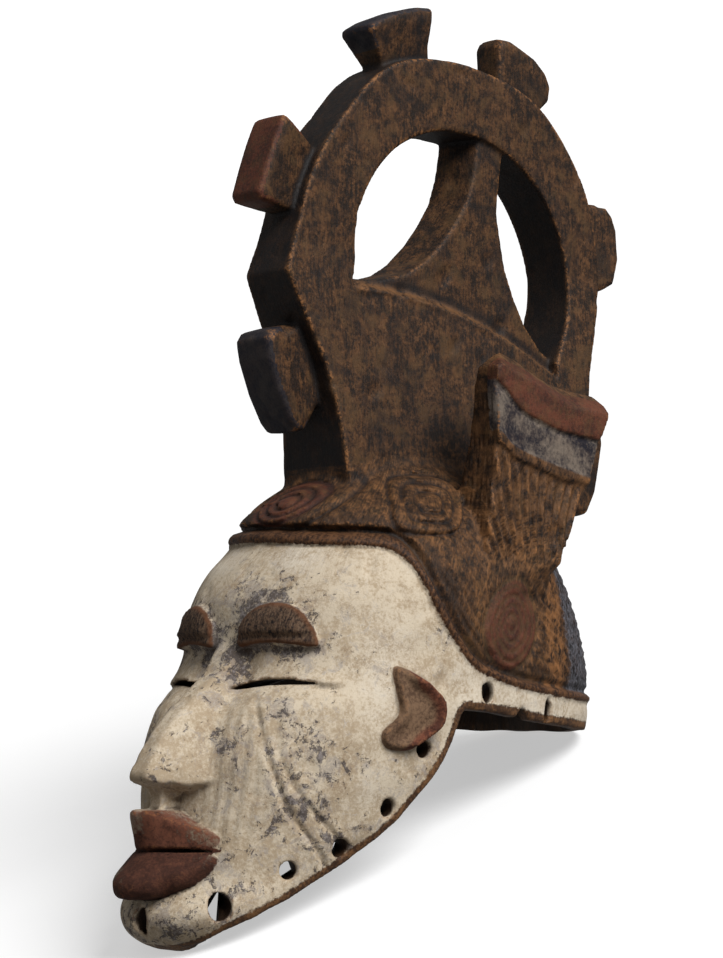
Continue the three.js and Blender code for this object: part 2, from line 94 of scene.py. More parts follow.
def lineDistance(x, y, points, loop=False):
    best = np.full(np.broadcast(x, y).shape, 1e9, np.float32)
    p = np.array(points, float)
    last = len(p) if loop else len(p) - 1
    for i in range(last):
        (x0, y0), (x1, y1) = p[i], p[(i + 1) % len(p)]
        dx, dy = x1 - x0, y1 - y0
        t = np.clip(((x - x0) * dx + (y - y0) * dy) / max(dx * dx + dy * dy, 1e-9), 0, 1)
        best = np.minimum(best, (x - x0 - t * dx) ** 2 + (y - y0 - t * dy) ** 2)
    return np.sqrt(best)


def regionDistance(x, y, points):
    # negative inside the closed outline
    p = np.array(points, float)
    inside = np.zeros(np.broadcast(x, y).shape, bool)
    for i in range(len(p)):
        (x0, y0), (x1, y1) = p[i], p[(i + 1) % len(p)]
        if y0 != y1:
            inside ^= ((y0 > y) != (y1 > y)) & (x < (x1 - x0) * (y - y0) / (y1 - y0) + x0)
    return np.where(inside, -1, 1) * lineDistance(x, y, points, True)


def wave(x, y, z, scale, seed):
    # smooth seeded wobble in about -1..1, made from a few turned sine waves
    r = np.random.default_rng(seed)
    total = 0
    for i in range(5):
        d = r.normal(size=3)
        d = d / np.linalg.norm(d) * (1 + 0.35 * i) / scale
        total = total + np.sin(x * d[0] + y * d[1] + z * d[2] + r.uniform(0, 6.28))
    return total / 3.2


def sampleMap(image, x, y, x0, y0, step):
    i = np.clip((x - x0) / step, 0, image.shape[0] - 1.001)
    j = np.clip((y - y0) / step, 0, image.shape[1] - 1.001)
    i0, j0 = i.astype(int), j.astype(int)
    a, b = i - i0, j - j0
    return (image[i0, j0] * (1 - a) * (1 - b) + image[i0 + 1, j0] * a * (1 - b)
            + image[i0, j0 + 1] * (1 - a) * b + image[i0 + 1, j0 + 1] * a * b)


def heightLine(x, points):
    p = np.array(points, float)
    p = p[np.argsort(p[:, 0])]
    return np.interp(x, p[:, 0], p[:, 1])


# The head as plan sections: [up, front, half width, rear, widest point, squareness].
headSections = np.array([
    [-122, 136, 16, -60, 112, 2.2], [-113, 160, 30, -70, 116, 2.2], [-108, 174, 35, -76, 114, 2.3],
    [-100, 184.5, 44, -80, 108, 2.3], [-90, 185.0, 52, -84, 100, 2.4], [-75, 173, 60, -86, 86, 2.4],
    [-60, 168, 67, -88, 76, 2.4], [-45, 166, 72, -88, 70, 2.4], [-30, 164, 76, -89, 66, 2.4],
    [-15, 161, 78, -88, 64, 2.45], [4, 151.5, 80, -88, 62, 2.5], [18, 138.5, 80, -87.5, 60, 2.5],
    [32, 133, 80, -86, 58, 2.45], [46, 132, 80, -84.3, 56, 2.35], [60, 129.5, 79.5, -79.5, 52, 2.26],
    [75, 120, 77.5, -72.5, 48, 2.2], [88, 108.5, 72.5, -62.5, 42, 2.15], [100, 102.5, 66, -51.5, 36, 2.2],
    [112, 89.5, 53.5, -38, 30, 2.2], [124, 72, 36, -20, 25, 2.2], [133, 50, 21, -2, 22, 2.2],
    [139, 22, 0.01, 21.9, 21.95, 2.2]])
headWall = {"wall": 12.5, "dome": 12.0, "top": 124, "gouges": (0.8, 0.7)}


def sectionValue(up, column):
    x, y = headSections[:, 0], headSections[:, column]
    slope = np.empty_like(y)
    slope[1:-1] = (y[2:] - y[:-2]) / (x[2:] - x[:-2])
    slope[0] = (y[1] - y[0]) / (x[1] - x[0])
    slope[-1] = (y[-1] - y[-2]) / (x[-1] - x[-2])
    u = np.clip(up, x[0], x[-1])
    i = np.clip(np.searchsorted(x, u, side="right") - 1, 0, len(x) - 2)
    h = x[i + 1] - x[i]
    t = (u - x[i]) / h
    return ((2 * t ** 3 - 3 * t ** 2 + 1) * y[i] + (t ** 3 - 2 * t ** 2 + t) * h * slope[i]
            + (-2 * t ** 3 + 3 * t ** 2) * y[i + 1] + (t ** 3 - t ** 2) * h * slope[i + 1])


def headRadius(sine, cosine, up):
    front, width, rear, middle, power = (sectionValue(up, k) for k in range(1, 6))
    reach = np.where(cosine > 0, front - middle, middle - rear)
    across = np.abs(sine) / np.maximum(width, 0.01)
    along = np.abs(cosine) / np.maximum(reach, 0.01)
    return (across ** power + along ** power) ** (-1 / power)


# Relief on the skin of the head is drawn on a map: azimuth from the front, turned to mm, and height.
relief = {"step": 0.5, "mmPerDegree": 1.39, "azimuth": 180, "low": -118, "high": 145}
mapAzimuth = np.arange(-relief["azimuth"], relief["azimuth"] + relief["step"], relief["step"])
mapHeight = np.arange(relief["low"], relief["high"], relief["step"])
mapX, mapY = np.meshgrid(mapAzimuth * relief["mmPerDegree"], mapHeight, indexing="ij")
half = np.abs(mapX)


def onMap(points):
    return [(a * relief["mmPerDegree"], u) for a, u in points]


# hairline roll: across the brow, down in front of the ears, back along the white band,
# with a second incised line above it beside the ear
roll = {
    "half": 3.0, "thinHalf": 2.1, "height": 2.9, "groove": 2.8, "step": 2.0, "stepWidth": 20, "line": 0.9,
    "left": [(0, 91.7), (12, 90.8), (24, 89.8), (37, 89), (47, 88.6), (54, 88), (60, 86.2), (66, 81.5), (70, 76.5),
        (74.8, 69), (80.5, 58.5), (86.8, 48.5), (93.8, 38.6), (100.3, 30.2), (108, 24.6), (119.8, 19.6),
        (132.9, 15.8), (154, 11.8), (181, 10.3)],
    "rightRise": [(0, 0), (20, 2.2), (36, 4.2), (50, 4.0), (60, 2.0), (66, 0), (180, 0)]}
rise = np.array(roll["rightRise"])
leftLine = curve(onMap(roll["left"]), 5)
rightLine = leftLine.copy()
rightLine[:, 1] += np.interp(leftLine[:, 0] / relief["mmPerDegree"], rise[:, 0], rise[:, 1])
rollUp = np.where(mapX > 0, np.interp(half, leftLine[:, 0], leftLine[:, 1]),
    np.interp(half, rightLine[:, 0], rightLine[:, 1]))
rollGap = np.where(mapX > 0, lineDistance(half, mapY, leftLine), lineDistance(half, mapY, rightLine))
above = rollGap * np.sign(mapY - rollUp)  # signed distance above the roll's line
rollHalf = roll["half"] + (roll["thinHalf"] - roll["half"]) * ease(half, 82, 100)
bead = np.sqrt(np.clip(1 - (rollGap / rollHalf) ** 2, 0, 1))
lift = roll["height"] * bead * (1 - 0.4 * ease(half, 90, 150))
lift -= roll["groove"] * bell(above - rollHalf - 1.6, 1.2) * (1 - 0.4 * ease(half, 80, 130))
lift += (roll["step"] * ease(above, 5.5, 7.5) * fade(above, 14, 14 + roll["stepWidth"])
    * (1 - 0.6 * ease(half, 80, 130)))
lift -= roll["line"] * bell(above - rollHalf - 6.5, 0.9) * ease(half, 95, 120)

brow = {
    "height": 4.8, "cuts": 0.42, "foot": 1.6, "edge": 1.5,
    "outline": [(7.8, 36.2), (7.4, 42), (8.5, 48.5), (13.4, 54.8), (19, 57.4), (24, 57.7), (29, 56.2), (33.5, 53),
        (37.5, 47.5), (40, 42), (40.8, 36), (32, 37), (24, 38), (15, 37.4)]}
browGap = regionDistance(half, mapY, curve(onMap(brow["outline"]), 4, True))
insideBrow = ease(-browGap, -0.7, 1.0)
browCuts = (brow["cuts"] * np.sin(half * 2.5 + 1.6 * np.sin(mapY * 0.33)) * ease(-browGap, 1.5, 3.5)
    * (0.5 + 0.5 * ease(52 - mapY, 0, 6)))
lift += brow["height"] * insideBrow * (0.72 + 0.28 * ease(-browGap, 0.5, 8)) + browCuts
lift -= brow["edge"] * ease(-browGap, 0.5, 2) * bell(mapY - 41, 1.3)
browFoot = np.clip(36 - mapY, 0, 30)
lift -= brow["foot"] * bell(browFoot, 7) * ease(36.5 - mapY, 0, 1.5) * ease(half, 4, 12) * fade(half, 50, 66)

ear = {
    "height": 9.5, "scoop": 5.0,
    "outline": [(67.5, 25.6), (74.1, 23.4), (82, 17), (87, 7.5), (86.8, -2.5), (81.6, -9), (77.2, -13), (70, -13.4),
        (66.3, -11), (65.3, -5.5), (69.1, -0.3), (71.3, 4.5), (69.7, 12.6)]}
earGap = regionDistance(half, mapY, curve(onMap(ear["outline"]), 4, True))
lift += ear["height"] * (0.30 + 0.70 * ease(half, 92, 120)) * ease(-earGap, -0.7, 1.3)
lift -= ear["scoop"] * ease(-earGap, 1.5, 7.0) * (0.25 + 0.75 * ease(half, 93, 112))

# the socket beside the bridge of the nose is given as depth, out, up, size
eye = {
    "line": [(8.5, 15.4), (12, 16.6), (17, 17.9), (24, 18.8), (33, 19.1), (40, 18.5), (47, 17.4)],
    "lid": 1.7, "crease": 0.8, "socket": (3.2, 17, 25, 8)}
eyeLine = curve(onMap(eye["line"]), 5)
eyeGap = lineDistance(half, mapY, eyeLine)
eyeSide = mapY - np.interp(half, eyeLine[:, 0], eyeLine[:, 1])
lift += eye["lid"] * bell(eyeGap, 5.0) * ease(eyeSide, -1.2, 0.8)
lift -= eye["crease"] * bell(eyeSide + 2.0, 2.0) * ease(6 - eyeGap, 0, 4)
socketDepth, socketOut, socketUp, socketSize = eye["socket"]
lift -= socketDepth * hill(half - socketOut, socketSize, mapY - socketUp, socketSize)

scars = {
    "depth": 1.6, "width": 0.85, "edge": 0.35, "share": (1.0, 0.8),
    "front": [(23, 10), (25, 4), (27.2, -2.6), (29.8, -13), (32.6, -23.4), (37.1, -39.5), (43.7, -51.4),
        (57.2, -69)],
    "rear": [(31.5, 6), (32.6, -4), (33.2, -13), (36, -23.4), (41.8, -36.7), (49, -47), (59, -58.5)]}
frontScar = lineDistance(half, mapY, curve(onMap(scars["front"]), 6))
rearScar = lineDistance(half, mapY, curve(onMap(scars["rear"]), 6))
for gap, share in zip((frontScar, rearScar), scars["share"]):
    lift -= scars["depth"] * share * (0.35 + 0.65 * ease(-mapY, 5, 40)) * bell(gap, scars["width"])
    lift += scars["edge"] * bell(gap - 2.8, 1.5)

# soft gouge marks down the cheek between nose and scars, and flat tool facets over the face
marks = {
    "gouge": 0.28, "facet": 0.45, "pit": 1.0, "pits": ((33.0, 60.5, 3.2), (20.0, 72.0, 1.6), (52.0, -8.0, 1.5)),
    "strand": 0.5, "strandFine": 0.3, "rear": 0.9}
cheek = bell(half - 31, 15) * ease(mapY, -75, -45) * fade(mapY, 2, 12)
lift += marks["gouge"] * cheek * np.sin(half * 1.15 + 0.05 * mapY + 1.2 * np.sin(mapY * 0.09))
lift += marks["facet"] * wave(mapX, mapY, 0, 6.0, 3) * ease(-above, 2, 8)
for pitX, pitY, size in marks["pits"]:
    lift -= marks["pit"] * hill(mapX - pitX, size, mapY - pitY, size * 0.7)

# carved ovals: azimuth, height, half sizes, squareness, groove radii, depth, red inside this radius,
# and how dark (or pale, below 0) the grooves are
ovals = [(0, 109, 32, 18, 0.0, (1.0, 0.63, 0.42, 0.22), 2.0, 0.68, 1)]
for azimuth, *sizes in ((73.5, 108, 21, 16.5, 0.5, (1.0, 0.66, 0.36), 2.2, 0, 0.9),
                        (118, 47.9, 13.2, 23.7, -0.1, (1.0, 0.80, 0.60, 0.40, 0.20), 1.0, 0.95, -0.9)):
    ovals += [(azimuth, *sizes), (-azimuth, *sizes)]
oval = {"rise": 0.9, "lineWidth": 0.95, "swirl": 0.05}
ovalMask = np.full_like(mapX, -50.0)
ovalRed = np.full_like(mapX, -50.0)
ringLine = np.zeros_like(mapX)
clear = ease(above, 4.5, 7)
for azimuth, up, halfWidth, halfHeight, square, grooves, depth, red, tone in ovals:
    narrowing = sectionValue(mapY, 2) / sectionValue(up, 2)
    x = (mapX / relief["mmPerDegree"] - azimuth) * narrowing / halfWidth
    y = (mapY - up) / halfHeight
    power = 2 + 3 * square
    radius = (np.abs(x) ** power + np.abs(y) ** power) ** (1 / power)
    size = min(halfWidth * relief["mmPerDegree"] * 0.8, halfHeight)
    ovalMask = np.maximum(ovalMask, (1 - radius) * size)
    if red:
        ovalRed = np.maximum(ovalRed, (red - radius) * size)
    lift += oval["rise"] * ease((1 - radius) * size, -0.5, 3.0) * clear
    swirl = oval["swirl"] * np.arctan2(y, x) / math.pi
    for groove in grooves:
        bend = swirl if groove < 1 else 0
        line = bell((radius - groove - bend) * size, oval["lineWidth"]) * clear
        lift -= depth * line
        ringLine += line * tone

hair = ease(above, 6, 10) * ease(-ovalMask, 0, 3)
strand = np.sin(mapX + mapY * 1.15 + 2.0 * np.sin(mapX * 0.09) + 1.3 * np.sin(mapY * 0.13))
fineStrand = np.sin(mapX * 2.1 + mapY * 0.9 + 1.5 * np.sin(mapY * 0.2))
lift += hair * (marks["strand"] * strand + marks["strandFine"] * fineStrand)
facetGroove = ease(half, 208, 216) * ease(mapY, 14, 20) * fade(mapY, 70, 84)
lift -= marks["rear"] * facetGroove * (0.5 + 0.5 * np.sin(half * 1.35 + 0.8 * np.sin(mapY * 0.12)))
print("relief map ready")


def onSkin(image, azimuth, up):
    return sampleMap(image, azimuth, up, -relief["azimuth"], relief["low"], relief["step"])


# The block is a signed distance on a grid: negative in the wood.
def axisPoints(low, high):
    return single(np.arange(low, high + grid["step"], grid["step"]))


sideAxis, frontAxis, upAxis = (axisPoints(*grid[k]) for k in ("side", "forward", "up"))
gridS, gridF, gridU = sideAxis[:, None, None], frontAxis[None, :, None], upAxis[None, None, :]
gridT = np.abs(gridS)
gridShape = (len(sideAxis), len(frontAxis), len(upAxis))
planeF, planeU = np.meshgrid(frontAxis, upAxis, indexing="ij")
print("grid", gridShape)


def sideView(points):
    return regionDistance(planeF, planeU, points)


def gridWave(scale, seed):
    return wave(gridS, gridF, gridU, scale, seed)


def normalised(g, low=0.75):
    dx, dy, dz = np.gradient(g, grid["step"])
    return g / np.maximum(np.sqrt(dx * dx + dy * dy + dz * dz), low)


ahead = gridF - single(sectionValue(upAxis, 4))[None, None, :]
r = np.sqrt(gridS * gridS + ahead * ahead) + 1e-4
sine, cosine = gridS / r, ahead / r
skinRadius = single(headRadius(sine, cosine, upAxis[None, None, :]))
overTop = np.maximum(gridU - (headSections[-1, 0] - 0.5), 0)
azimuthGrid = single(np.degrees(np.arctan2(gridS, ahead)))
head = normalised(single(np.where(overTop > 0, np.sqrt(r * r + overTop ** 2), r - skinRadius)))
near = np.abs(head) < 16
carved = np.zeros(gridShape, np.float32)
carved[near] = onSkin(lift, azimuthGrid[near], np.broadcast_to(gridU, gridShape)[near])
head = head - carved * fade(gridU, 132, 140)
print("head ready")

hollowRadius = (np.minimum(skinRadius, single(headRadius(sine, cosine, upAxis[None, None, :] + headWall["dome"])))
    - headWall["wall"])
hollow = normalised(single(np.where(gridU > headWall["top"], r + gridU - headWall["top"], r - hollowRadius)))
gouge = headWall["gouges"][0] * np.abs(wave(gridS, gridF * 0.5, gridU, 7.0, 21))
gouge = gouge + headWall["gouges"][1] * gridWave(16.0, 22)
hollow = single(hollow + gouge)
del r, sine, cosine, near, carved, azimuthGrid, skinRadius, hollowRadius, gouge

# nose: [up, ridge forward, half ridge, half base, base forward]
nose = {
    "stations": [(40, 131, 8, 12, 124), (34, 136, 6.5, 13.5, 127), (24, 142.5, 6, 15.5, 133),
        (15, 153.5, 5.5, 17.5, 139), (3, 167.3, 5.5, 19.3, 150), (-7, 176.2, 5.5, 21.2, 155.5),
        (-16, 182.3, 6, 24.4, 157.5), (-24, 186.8, 6.5, 27.3, 158.5), (-29, 187.5, 7, 28.8, 158.5),
        (-44, 184, 8, 25, 157)],
    "tip": (188, -27.5), "base": (163, -37.5), "wing": 27.0, "round": 1.8, "blend": 1.8, "nostril": (13, 168, -37),
    "nostrilSize": (7.5, 12.0, 4.0), "nostrilSlope": 0.4, "septum": (4.5, 176, -38, 8)}
stations = np.array(nose["stations"], float)[::-1]
ridgeF, ridgeHalf, baseHalf, baseF = (single(np.interp(upAxis, stations[:, 0], stations[:, k]))[None, None, :]
    for k in range(1, 5))
share = np.clip((ridgeF - gridF) / (ridgeF - baseF), -0.3, 1.2)
flank = (gridT - (ridgeHalf + (baseHalf - ridgeHalf) * share)) * 0.88
(tipF, tipU), (subF, subU) = nose["tip"], nose["base"]
drop = np.clip((tipF - gridF) / (tipF - subF), 0, 1) * (1 - np.clip(gridT / nose["wing"], 0, 1) ** 1.5)
under = (tipU + (subU - tipU) * drop - gridU) * 0.94
noseField = softMax(softMax(flank, (gridF - ridgeF) * 0.85, nose["round"]), under, 1.6)
noseField = np.maximum(np.maximum(noseField, gridU - 40), 112 - gridF)
(nostrilS, nostrilF, nostrilU), (sizeS, sizeF, sizeU) = nose["nostril"], nose["nostrilSize"]
nostrilUp = gridU - nostrilU - (gridF - 166) * nose["nostrilSlope"]
nostril = (np.sqrt(((gridT - nostrilS) / sizeS) ** 2 + ((gridF - nostrilF) / sizeF) ** 2 + (nostrilUp / sizeU) ** 2)
    - 1)
noseField = softMax(noseField, -nostril * 4.0, 1.5)
head = softMin(head, single(noseField), nose["blend"])
septumHalf, septumFront, septumUp, septumTall = nose["septum"]
septum = np.maximum(np.maximum(gridT - septumHalf, gridF - septumFront), np.abs(gridU - septumUp) - septumTall)
head = softMin(head, single(septum), 4.0)

# lips as rounded wedges: [side, front at top, front at bottom, top, bottom]
lips = {
    "upper": [(0, 188, 184.5, -43.8, -61.5), (4, 187.5, 184, -42.4, -61.5), (8, 185.5, 182.3, -43, -61.5),
        (16, 178, 176, -46.8, -61.5), (26, 167.5, 166.5, -51.5, -61.2), (35.5, 156.5, 156.5, -57.5, -60)],
    "lower": [(0, 185, 197.8, -61.4, -85.2), (7, 184, 196.2, -61.4, -84.8), (13, 180.5, 191.8, -61.4, -83.2),
        (24, 170, 178, -61.4, -77.5), (34.5, 156, 158, -61.2, -66)],
    "round": {"upper": 2.2, "lower": 6.5}, "full": {"upper": 1.0, "lower": 0.72}, "parting": -61.5, "groove": 0.55,
    "slope": 0.7}


def lipPoints(s, f, u, which):
    t = np.array(lips[which], float)
    top0, top1, up, low = (np.interp(np.abs(s), t[:, 0], t[:, k]) for k in range(1, 5))
    share = np.clip((up - u) / (up - low), 0, 1)
    front = top0 + (top1 - top0) * ease(share, 0, lips["full"][which])
    wedge = softMax((f - front) * 0.9, softMax(u - up, low - u, 1.0), lips["round"][which])
    return softMax(wedge, np.abs(s) - t[-1, 0], 1.0)


mouth = single(np.minimum(lipPoints(gridS, gridF, gridU, "upper"), lipPoints(gridS, gridF, gridU, "lower")))
inLips = (gridF > 140) & (gridU > -92) & (gridU < -36) & (gridT < 37)
head = np.where(inLips, softMin(head, mouth, 0.7), head)
parting = lips["groove"] - np.abs(gridU - lips["parting"]) * lips["slope"]
head = np.where(inLips & (gridF > 163), np.maximum(head, parting), head)
del noseField, nostril, flank, under, share, mouth, inLips, parting, septum
print("face ready")

# crest plate: a pierced wheel on a tapering foot
wheel = {
    "rim": [(108.4, 225), (99.4, 253), (94.2, 270), (81.7, 294), (68, 311.5), (49.8, 330.8), (31, 342), (7, 346.5),
        (-18, 346), (-42, 341.5), (-68.3, 331.5), (-91.2, 309.8), (-107.6, 280.5), (-114, 240), (-108.5, 208)],
    "foot": [(73.5, 106), (76, 124), (78.5, 146), (86.5, 178), (98.5, 203)],
    "back": [(-103, 188), (-99, 165), (-86, 135), (-52, 78)], "forward": -13.5, "up": 236, "halfLength": 76,
    "halfHeight": 73.2, "full": 0.038, "top": 16.0, "base": 26.0, "edge": 1.9,
    "ledge": [(-76, 189.5), (-40, 206.5), (-6, 217.5), (30, 223.5), (64, 225.5)], "ledgeFlat": 11, "ledgeFall": 0.69,
    "ledgeBead": 0.8, "thinFrom": 240, "thickOver": 115}
spoke = {
    "half": 13.5, "sway": 0.2,
    "outline": [(-23, 318), (-22.6, 305), (-20, 289), (-15.6, 275), (-7.3, 262.6), (2.6, 250.4), (14, 239.8),
        (27, 232.2), (46, 226.5), (70, 224), (70, 198), (-82, 172), (-82, 191), (-69, 198), (-57, 211), (-49.4, 225),
        (-43.6, 240.5), (-41.2, 254), (-38, 270), (-39, 281), (-41.1, 300), (-52, 316)]}
outerPlane = sideView(np.vstack([wheel["foot"], curve(wheel["rim"], 5), wheel["back"]]))
angles = np.radians(np.linspace(0, 205, 60))
full = 1 + wheel["full"] * np.sin(2 * angles) * np.where(angles < math.pi / 2, 1, 0.35)
windowRim = np.stack([wheel["forward"] + wheel["halfLength"] * np.cos(angles) * full,
    wheel["up"] + wheel["halfHeight"] * np.sin(angles) * full], 1)
wheelRim = np.vstack([wheel["foot"], wheel["rim"], wheel["back"]])
ledgeLine = curve(wheel["ledge"], 6)
windowPlane = sideView(np.vstack([windowRim, ledgeLine]))


def plateWidth(up):
    thicker = np.clip((wheel["thinFrom"] - up) / wheel["thickOver"], 0, 1.1)
    return wheel["top"] + (wheel["base"] - wheel["top"]) * thicker


plateHalf = single(plateWidth(gridU))
ledgeUp = single(heightLine(frontAxis, ledgeLine))[None, :, None]
overPanel = single(ease(gridF, -80, -70) * fade(gridF, 58, 68))
plateHalf = plateHalf + wheel["ledgeBead"] * overPanel * bell(gridU - ledgeUp + 5.2, 1.5)
plate = softMax(single(np.maximum(outerPlane, -windowPlane)[None]), (gridT - plateHalf) * 0.98, wheel["edge"])
bevel = (gridU - ledgeUp + (gridT - wheel["ledgeFlat"]) * wheel["ledgeFall"]) / math.hypot(1, wheel["ledgeFall"])
onLedge = (gridF > -77) & (gridF < 65) & (gridU < ledgeUp + 1) & (gridU > ledgeUp - 14)
plate = np.where(onLedge, softMax(plate, single(bevel), 0.8), plate)
spokePlane = sideView(spoke["outline"])
spokeField = np.full(gridShape, 30, np.float32)
for i in np.flatnonzero(np.abs(sideAxis) < 24):
    swayed = planeF + spoke["sway"] * sideAxis[i]
    spokeField[i] = sampleMap(spokePlane, swayed, planeU, frontAxis[0], upAxis[0], grid["step"])
spokeField = softMax(spokeField, gridT - spoke["half"], 2.2)
crest = softMin(plate, single(spokeField), 0.8)
del plate, bevel, onLedge, spokeField
print("crest ready")

# knobs round the wheel in side view; each is narrower where it meets the rim
knobs = {"rise": 20, "painted": 102, "list": [
    {"across": 28, "root": 0.78, "dome": 0.4, "edge": 5.0,
     "outline": [(86, 201.5), (105.5, 197.6), (115.5, 194.6), (118.5, 190), (116.8, 180), (110.6, 163),
        (103.2, 149.4), (98.5, 144.6), (92.5, 145), (84, 157), (74, 160)]},
    {"across": 25, "root": 0.72, "dome": 0.5, "edge": 3.2,
     "outline": [(80, 288), (93, 297), (105.3, 305.4), (108.3, 303.4), (113.2, 292), (119, 277), (123.7, 263.5),
        (121.5, 259.3), (98, 256), (86, 258)]},
    {"across": 25, "root": 0.66, "dome": 1.0, "edge": 2.6,
     "outline": [(36, 326), (39, 341), (49.8, 356.6), (49.4, 359.8), (41.3, 365), (28.9, 370.6), (15.3, 374.6),
        (5.6, 375.4), (4.4, 372), (5.6, 354), (3.8, 345), (1, 326)]},
    {"across": 20, "root": 0.9, "dome": 1.0, "edge": 3.2,
     "outline": [(-40, 328), (-44.5, 344), (-44.5, 363), (-47, 367.2), (-54.5, 367.2), (-63.6, 363.7), (-73, 360),
        (-81.5, 353), (-85.3, 345.5), (-84, 337), (-77, 331), (-66, 316)]},
    {"across": 25, "root": 0.8, "dome": 1.0, "edge": 3.2,
     "outline": [(-98, 284), (-110, 284.5), (-125, 284.3), (-130.3, 279), (-133.4, 271), (-134.3, 254.4),
        (-131, 240.5), (-122, 235.3), (-104, 234.5)]},
    {"across": 26, "root": 0.75, "dome": 1.0, "edge": 3.2,
     "outline": [(-92, 178), (-110, 172), (-119.5, 160), (-120.5, 151), (-114.5, 124), (-108.5, 112), (-105, 110.5),
        (-95, 112), (-84, 134)]}]}
outside = np.clip(outerPlane / knobs["rise"], 0, 1)
for knob in knobs["list"]:
    outline = np.array(knob["outline"], float)
    i = np.flatnonzero((frontAxis > outline[:, 0].min() - 8) & (frontAxis < outline[:, 0].max() + 8))
    j = np.flatnonzero((upAxis > outline[:, 1].min() - 8) & (upAxis < outline[:, 1].max() + 8))
    window = np.ix_(np.arange(len(sideAxis)), i, j)
    shape = regionDistance(planeF[np.ix_(i, j)], planeU[np.ix_(i, j)], outline)
    halfAcross = knob["across"] / 2 * (knob["root"] + (1 - knob["root"]) * outside[np.ix_(i, j)])
    domed = shape[None] + knob["dome"] * (gridS / (knob["across"] / 2)) ** 2
    body = softMax(domed, gridT - halfAcross[None], knob["edge"])
    crest[window] = softMin(crest[window], single(body), 1.4)
print("knobs ready")

# side horns: hollowed top, stepped painted bands, fanning flutes below
horn = {
    "outer": 77.0, "stops": [(68, 34), (90, 30), (140, 21), (178, 13)],
    "outline": [(32, 66), (28, 84), (27.6, 97), (23.9, 120), (21.4, 139), (22, 152), (23.7, 169), (23.5, 178),
        (15.5, 183.5), (7, 189), (-2, 184), (-16.5, 176), (-40, 170), (-56, 168.5), (-59, 163), (-57, 158),
        (-50.2, 144), (-43.2, 122), (-37.6, 110), (-28.1, 92.5), (-21.5, 75), (-20, 64)],
    "top": [(29, 177), (19.3, 180), (12.4, 176.6), (-0.9, 173), (-17.3, 165.5), (-30.2, 161), (-46.3, 160),
        (-62, 158)],
    "split": [(25, 172), (15.8, 165.1), (11.5, 160.4), (3.7, 155), (-7.3, 151.2), (-18.3, 148), (-31.1, 146.2),
        (-60, 143)],
    "blueFoot": [(26, 149), (18.7, 143.1), (11.6, 137.7), (0, 133.9), (-12.5, 130.7), (-26.3, 127.6), (-50, 123)],
    "lipFoot": [(26, 142), (17, 136.1), (8.9, 130.8), (-3.6, 127.6), (-18.1, 123.2), (-27.2, 121.7), (-50, 120)],
    "topFall": 0.85, "red": 2.6, "blue": 1.0, "lip": 1.8, "fluteGap": 7.4, "fluteDepth": 1.6, "fan": 130,
    "topInner": 79, "flare": 7.0, "flareFrom": 62, "frontCut": 0.35}


def hornLines(f, u):
    return [u - heightLine(f, curve(horn[k], 5)) for k in ("split", "blueFoot", "lipFoot")]


splitGap, blueGap, lipGap = hornLines(planeF, planeU)
hornPlane = sideView(horn["outline"])
step = horn["lip"] * ease(lipGap, -0.4, 0.9) + (horn["blue"] - horn["lip"]) * ease(blueGap, -0.3, 0.9)
step = step + (horn["red"] - horn["blue"]) * ease(splitGap, -0.5, 0.5) - 0.5 * bell(splitGap + 1.6, 0.9)
fan = (np.arctan2(planeF + 6, planeU - 10) * horn["fan"] + 1.1 * np.sin(planeU * 0.11)
    + 0.3 * np.sin(planeU * 0.31 + planeF * 0.4))
flute = np.sin(fan * 2 * np.pi / horn["fluteGap"])
flutes = horn["fluteDepth"] * np.minimum(flute, 0.6) * ease(-lipGap, 0, 6) * ease(planeU, 72, 90)
thick = single(np.interp(upAxis, *np.array(horn["stops"]).T))[None, None, :]
topGap = (gridU - single(heightLine(frontAxis, horn["top"]))[None, :, None]
    - horn["topFall"] * (horn["topInner"] - gridT)) / math.hypot(1, horn["topFall"])
slab = softMax(gridT - (horn["outer"] + step + flutes)[None], horn["outer"] - thick - gridT, 2.0)
frontCut = horn["frontCut"] * np.sin(gridS * 1.9 + 0.9 * np.sin(gridU * 0.1)) * ease(gridF, 8, 16)
hornField = softMax(softMax(single(hornPlane[None] + frontCut), single(slab), 1.5), single(topGap), 1.8)
# the horn grows out of the helmet gradually
hornField = softMax(hornField, head - np.exp(np.minimum((gridU - horn["flareFrom"]) / horn["flare"], 5.3)), 3.0)
solid = softMin(softMin(head, hornField, 3.0), crest, 2.6)
del hornField, slab, topGap, frontCut, crest, head
print("horns ready")

# hand-carved wander of every surface (height, scale, seed) and chipped edges (height, from, scale, seed)
carving = {"wander": ((0.42, 21.0, 11), (0.2, 9.0, 12)), "chips": ((1.8, 0.8, 6.0, 31), (1.1, 0.95, 3.6, 32))}
wander = sum(height * gridWave(scale, seed) for height, scale, seed in carving["wander"])
chipped = sum(np.maximum(0, gridWave(scale, seed) - start) * height
              for height, start, scale, seed in carving["chips"])
solid = single(solid + wander + chipped)
del wander, chipped

# cuts: rim, resting flats, hollow, eye slits, lashing holes
rim = {
    "middle": [(230, -108), (172, -111.5), (164, -111), (160, -106.5), (152.5, -94.5), (143.8, -89.2),
        (135.1, -84.7), (120.8, -75.5), (106.8, -66.3), (93.8, -57), (83.3, -47.6), (74.9, -38), (65.8, -28.5),
        (58.4, -18.9), (53.4, -9.2), (49, 3), (46, 5.8), (22, 3.5), (-15, -1.2), (-60, -5), (-160, -9.7),
        (-160, -300), (230, -300)],
    "cheek": [(178, -113), (172, -110), (168.5, -106.5), (164.7, -103.3), (160.6, -99.4), (152.5, -93.8),
        (150, -125), (178, -125)],
    "notch": (5.0, 7.0)}
rimPlane = sideView(rim["middle"])
cheekPlane = sideView(rim["cheek"])
cheekCut = np.maximum(cheekPlane[None], (8 + np.clip(gridU + 111, 0, 10) * 1.7) - gridT)
rimCut = np.minimum(rimPlane[None], cheekCut) + 0.4 * gridWave(8.0, 41)
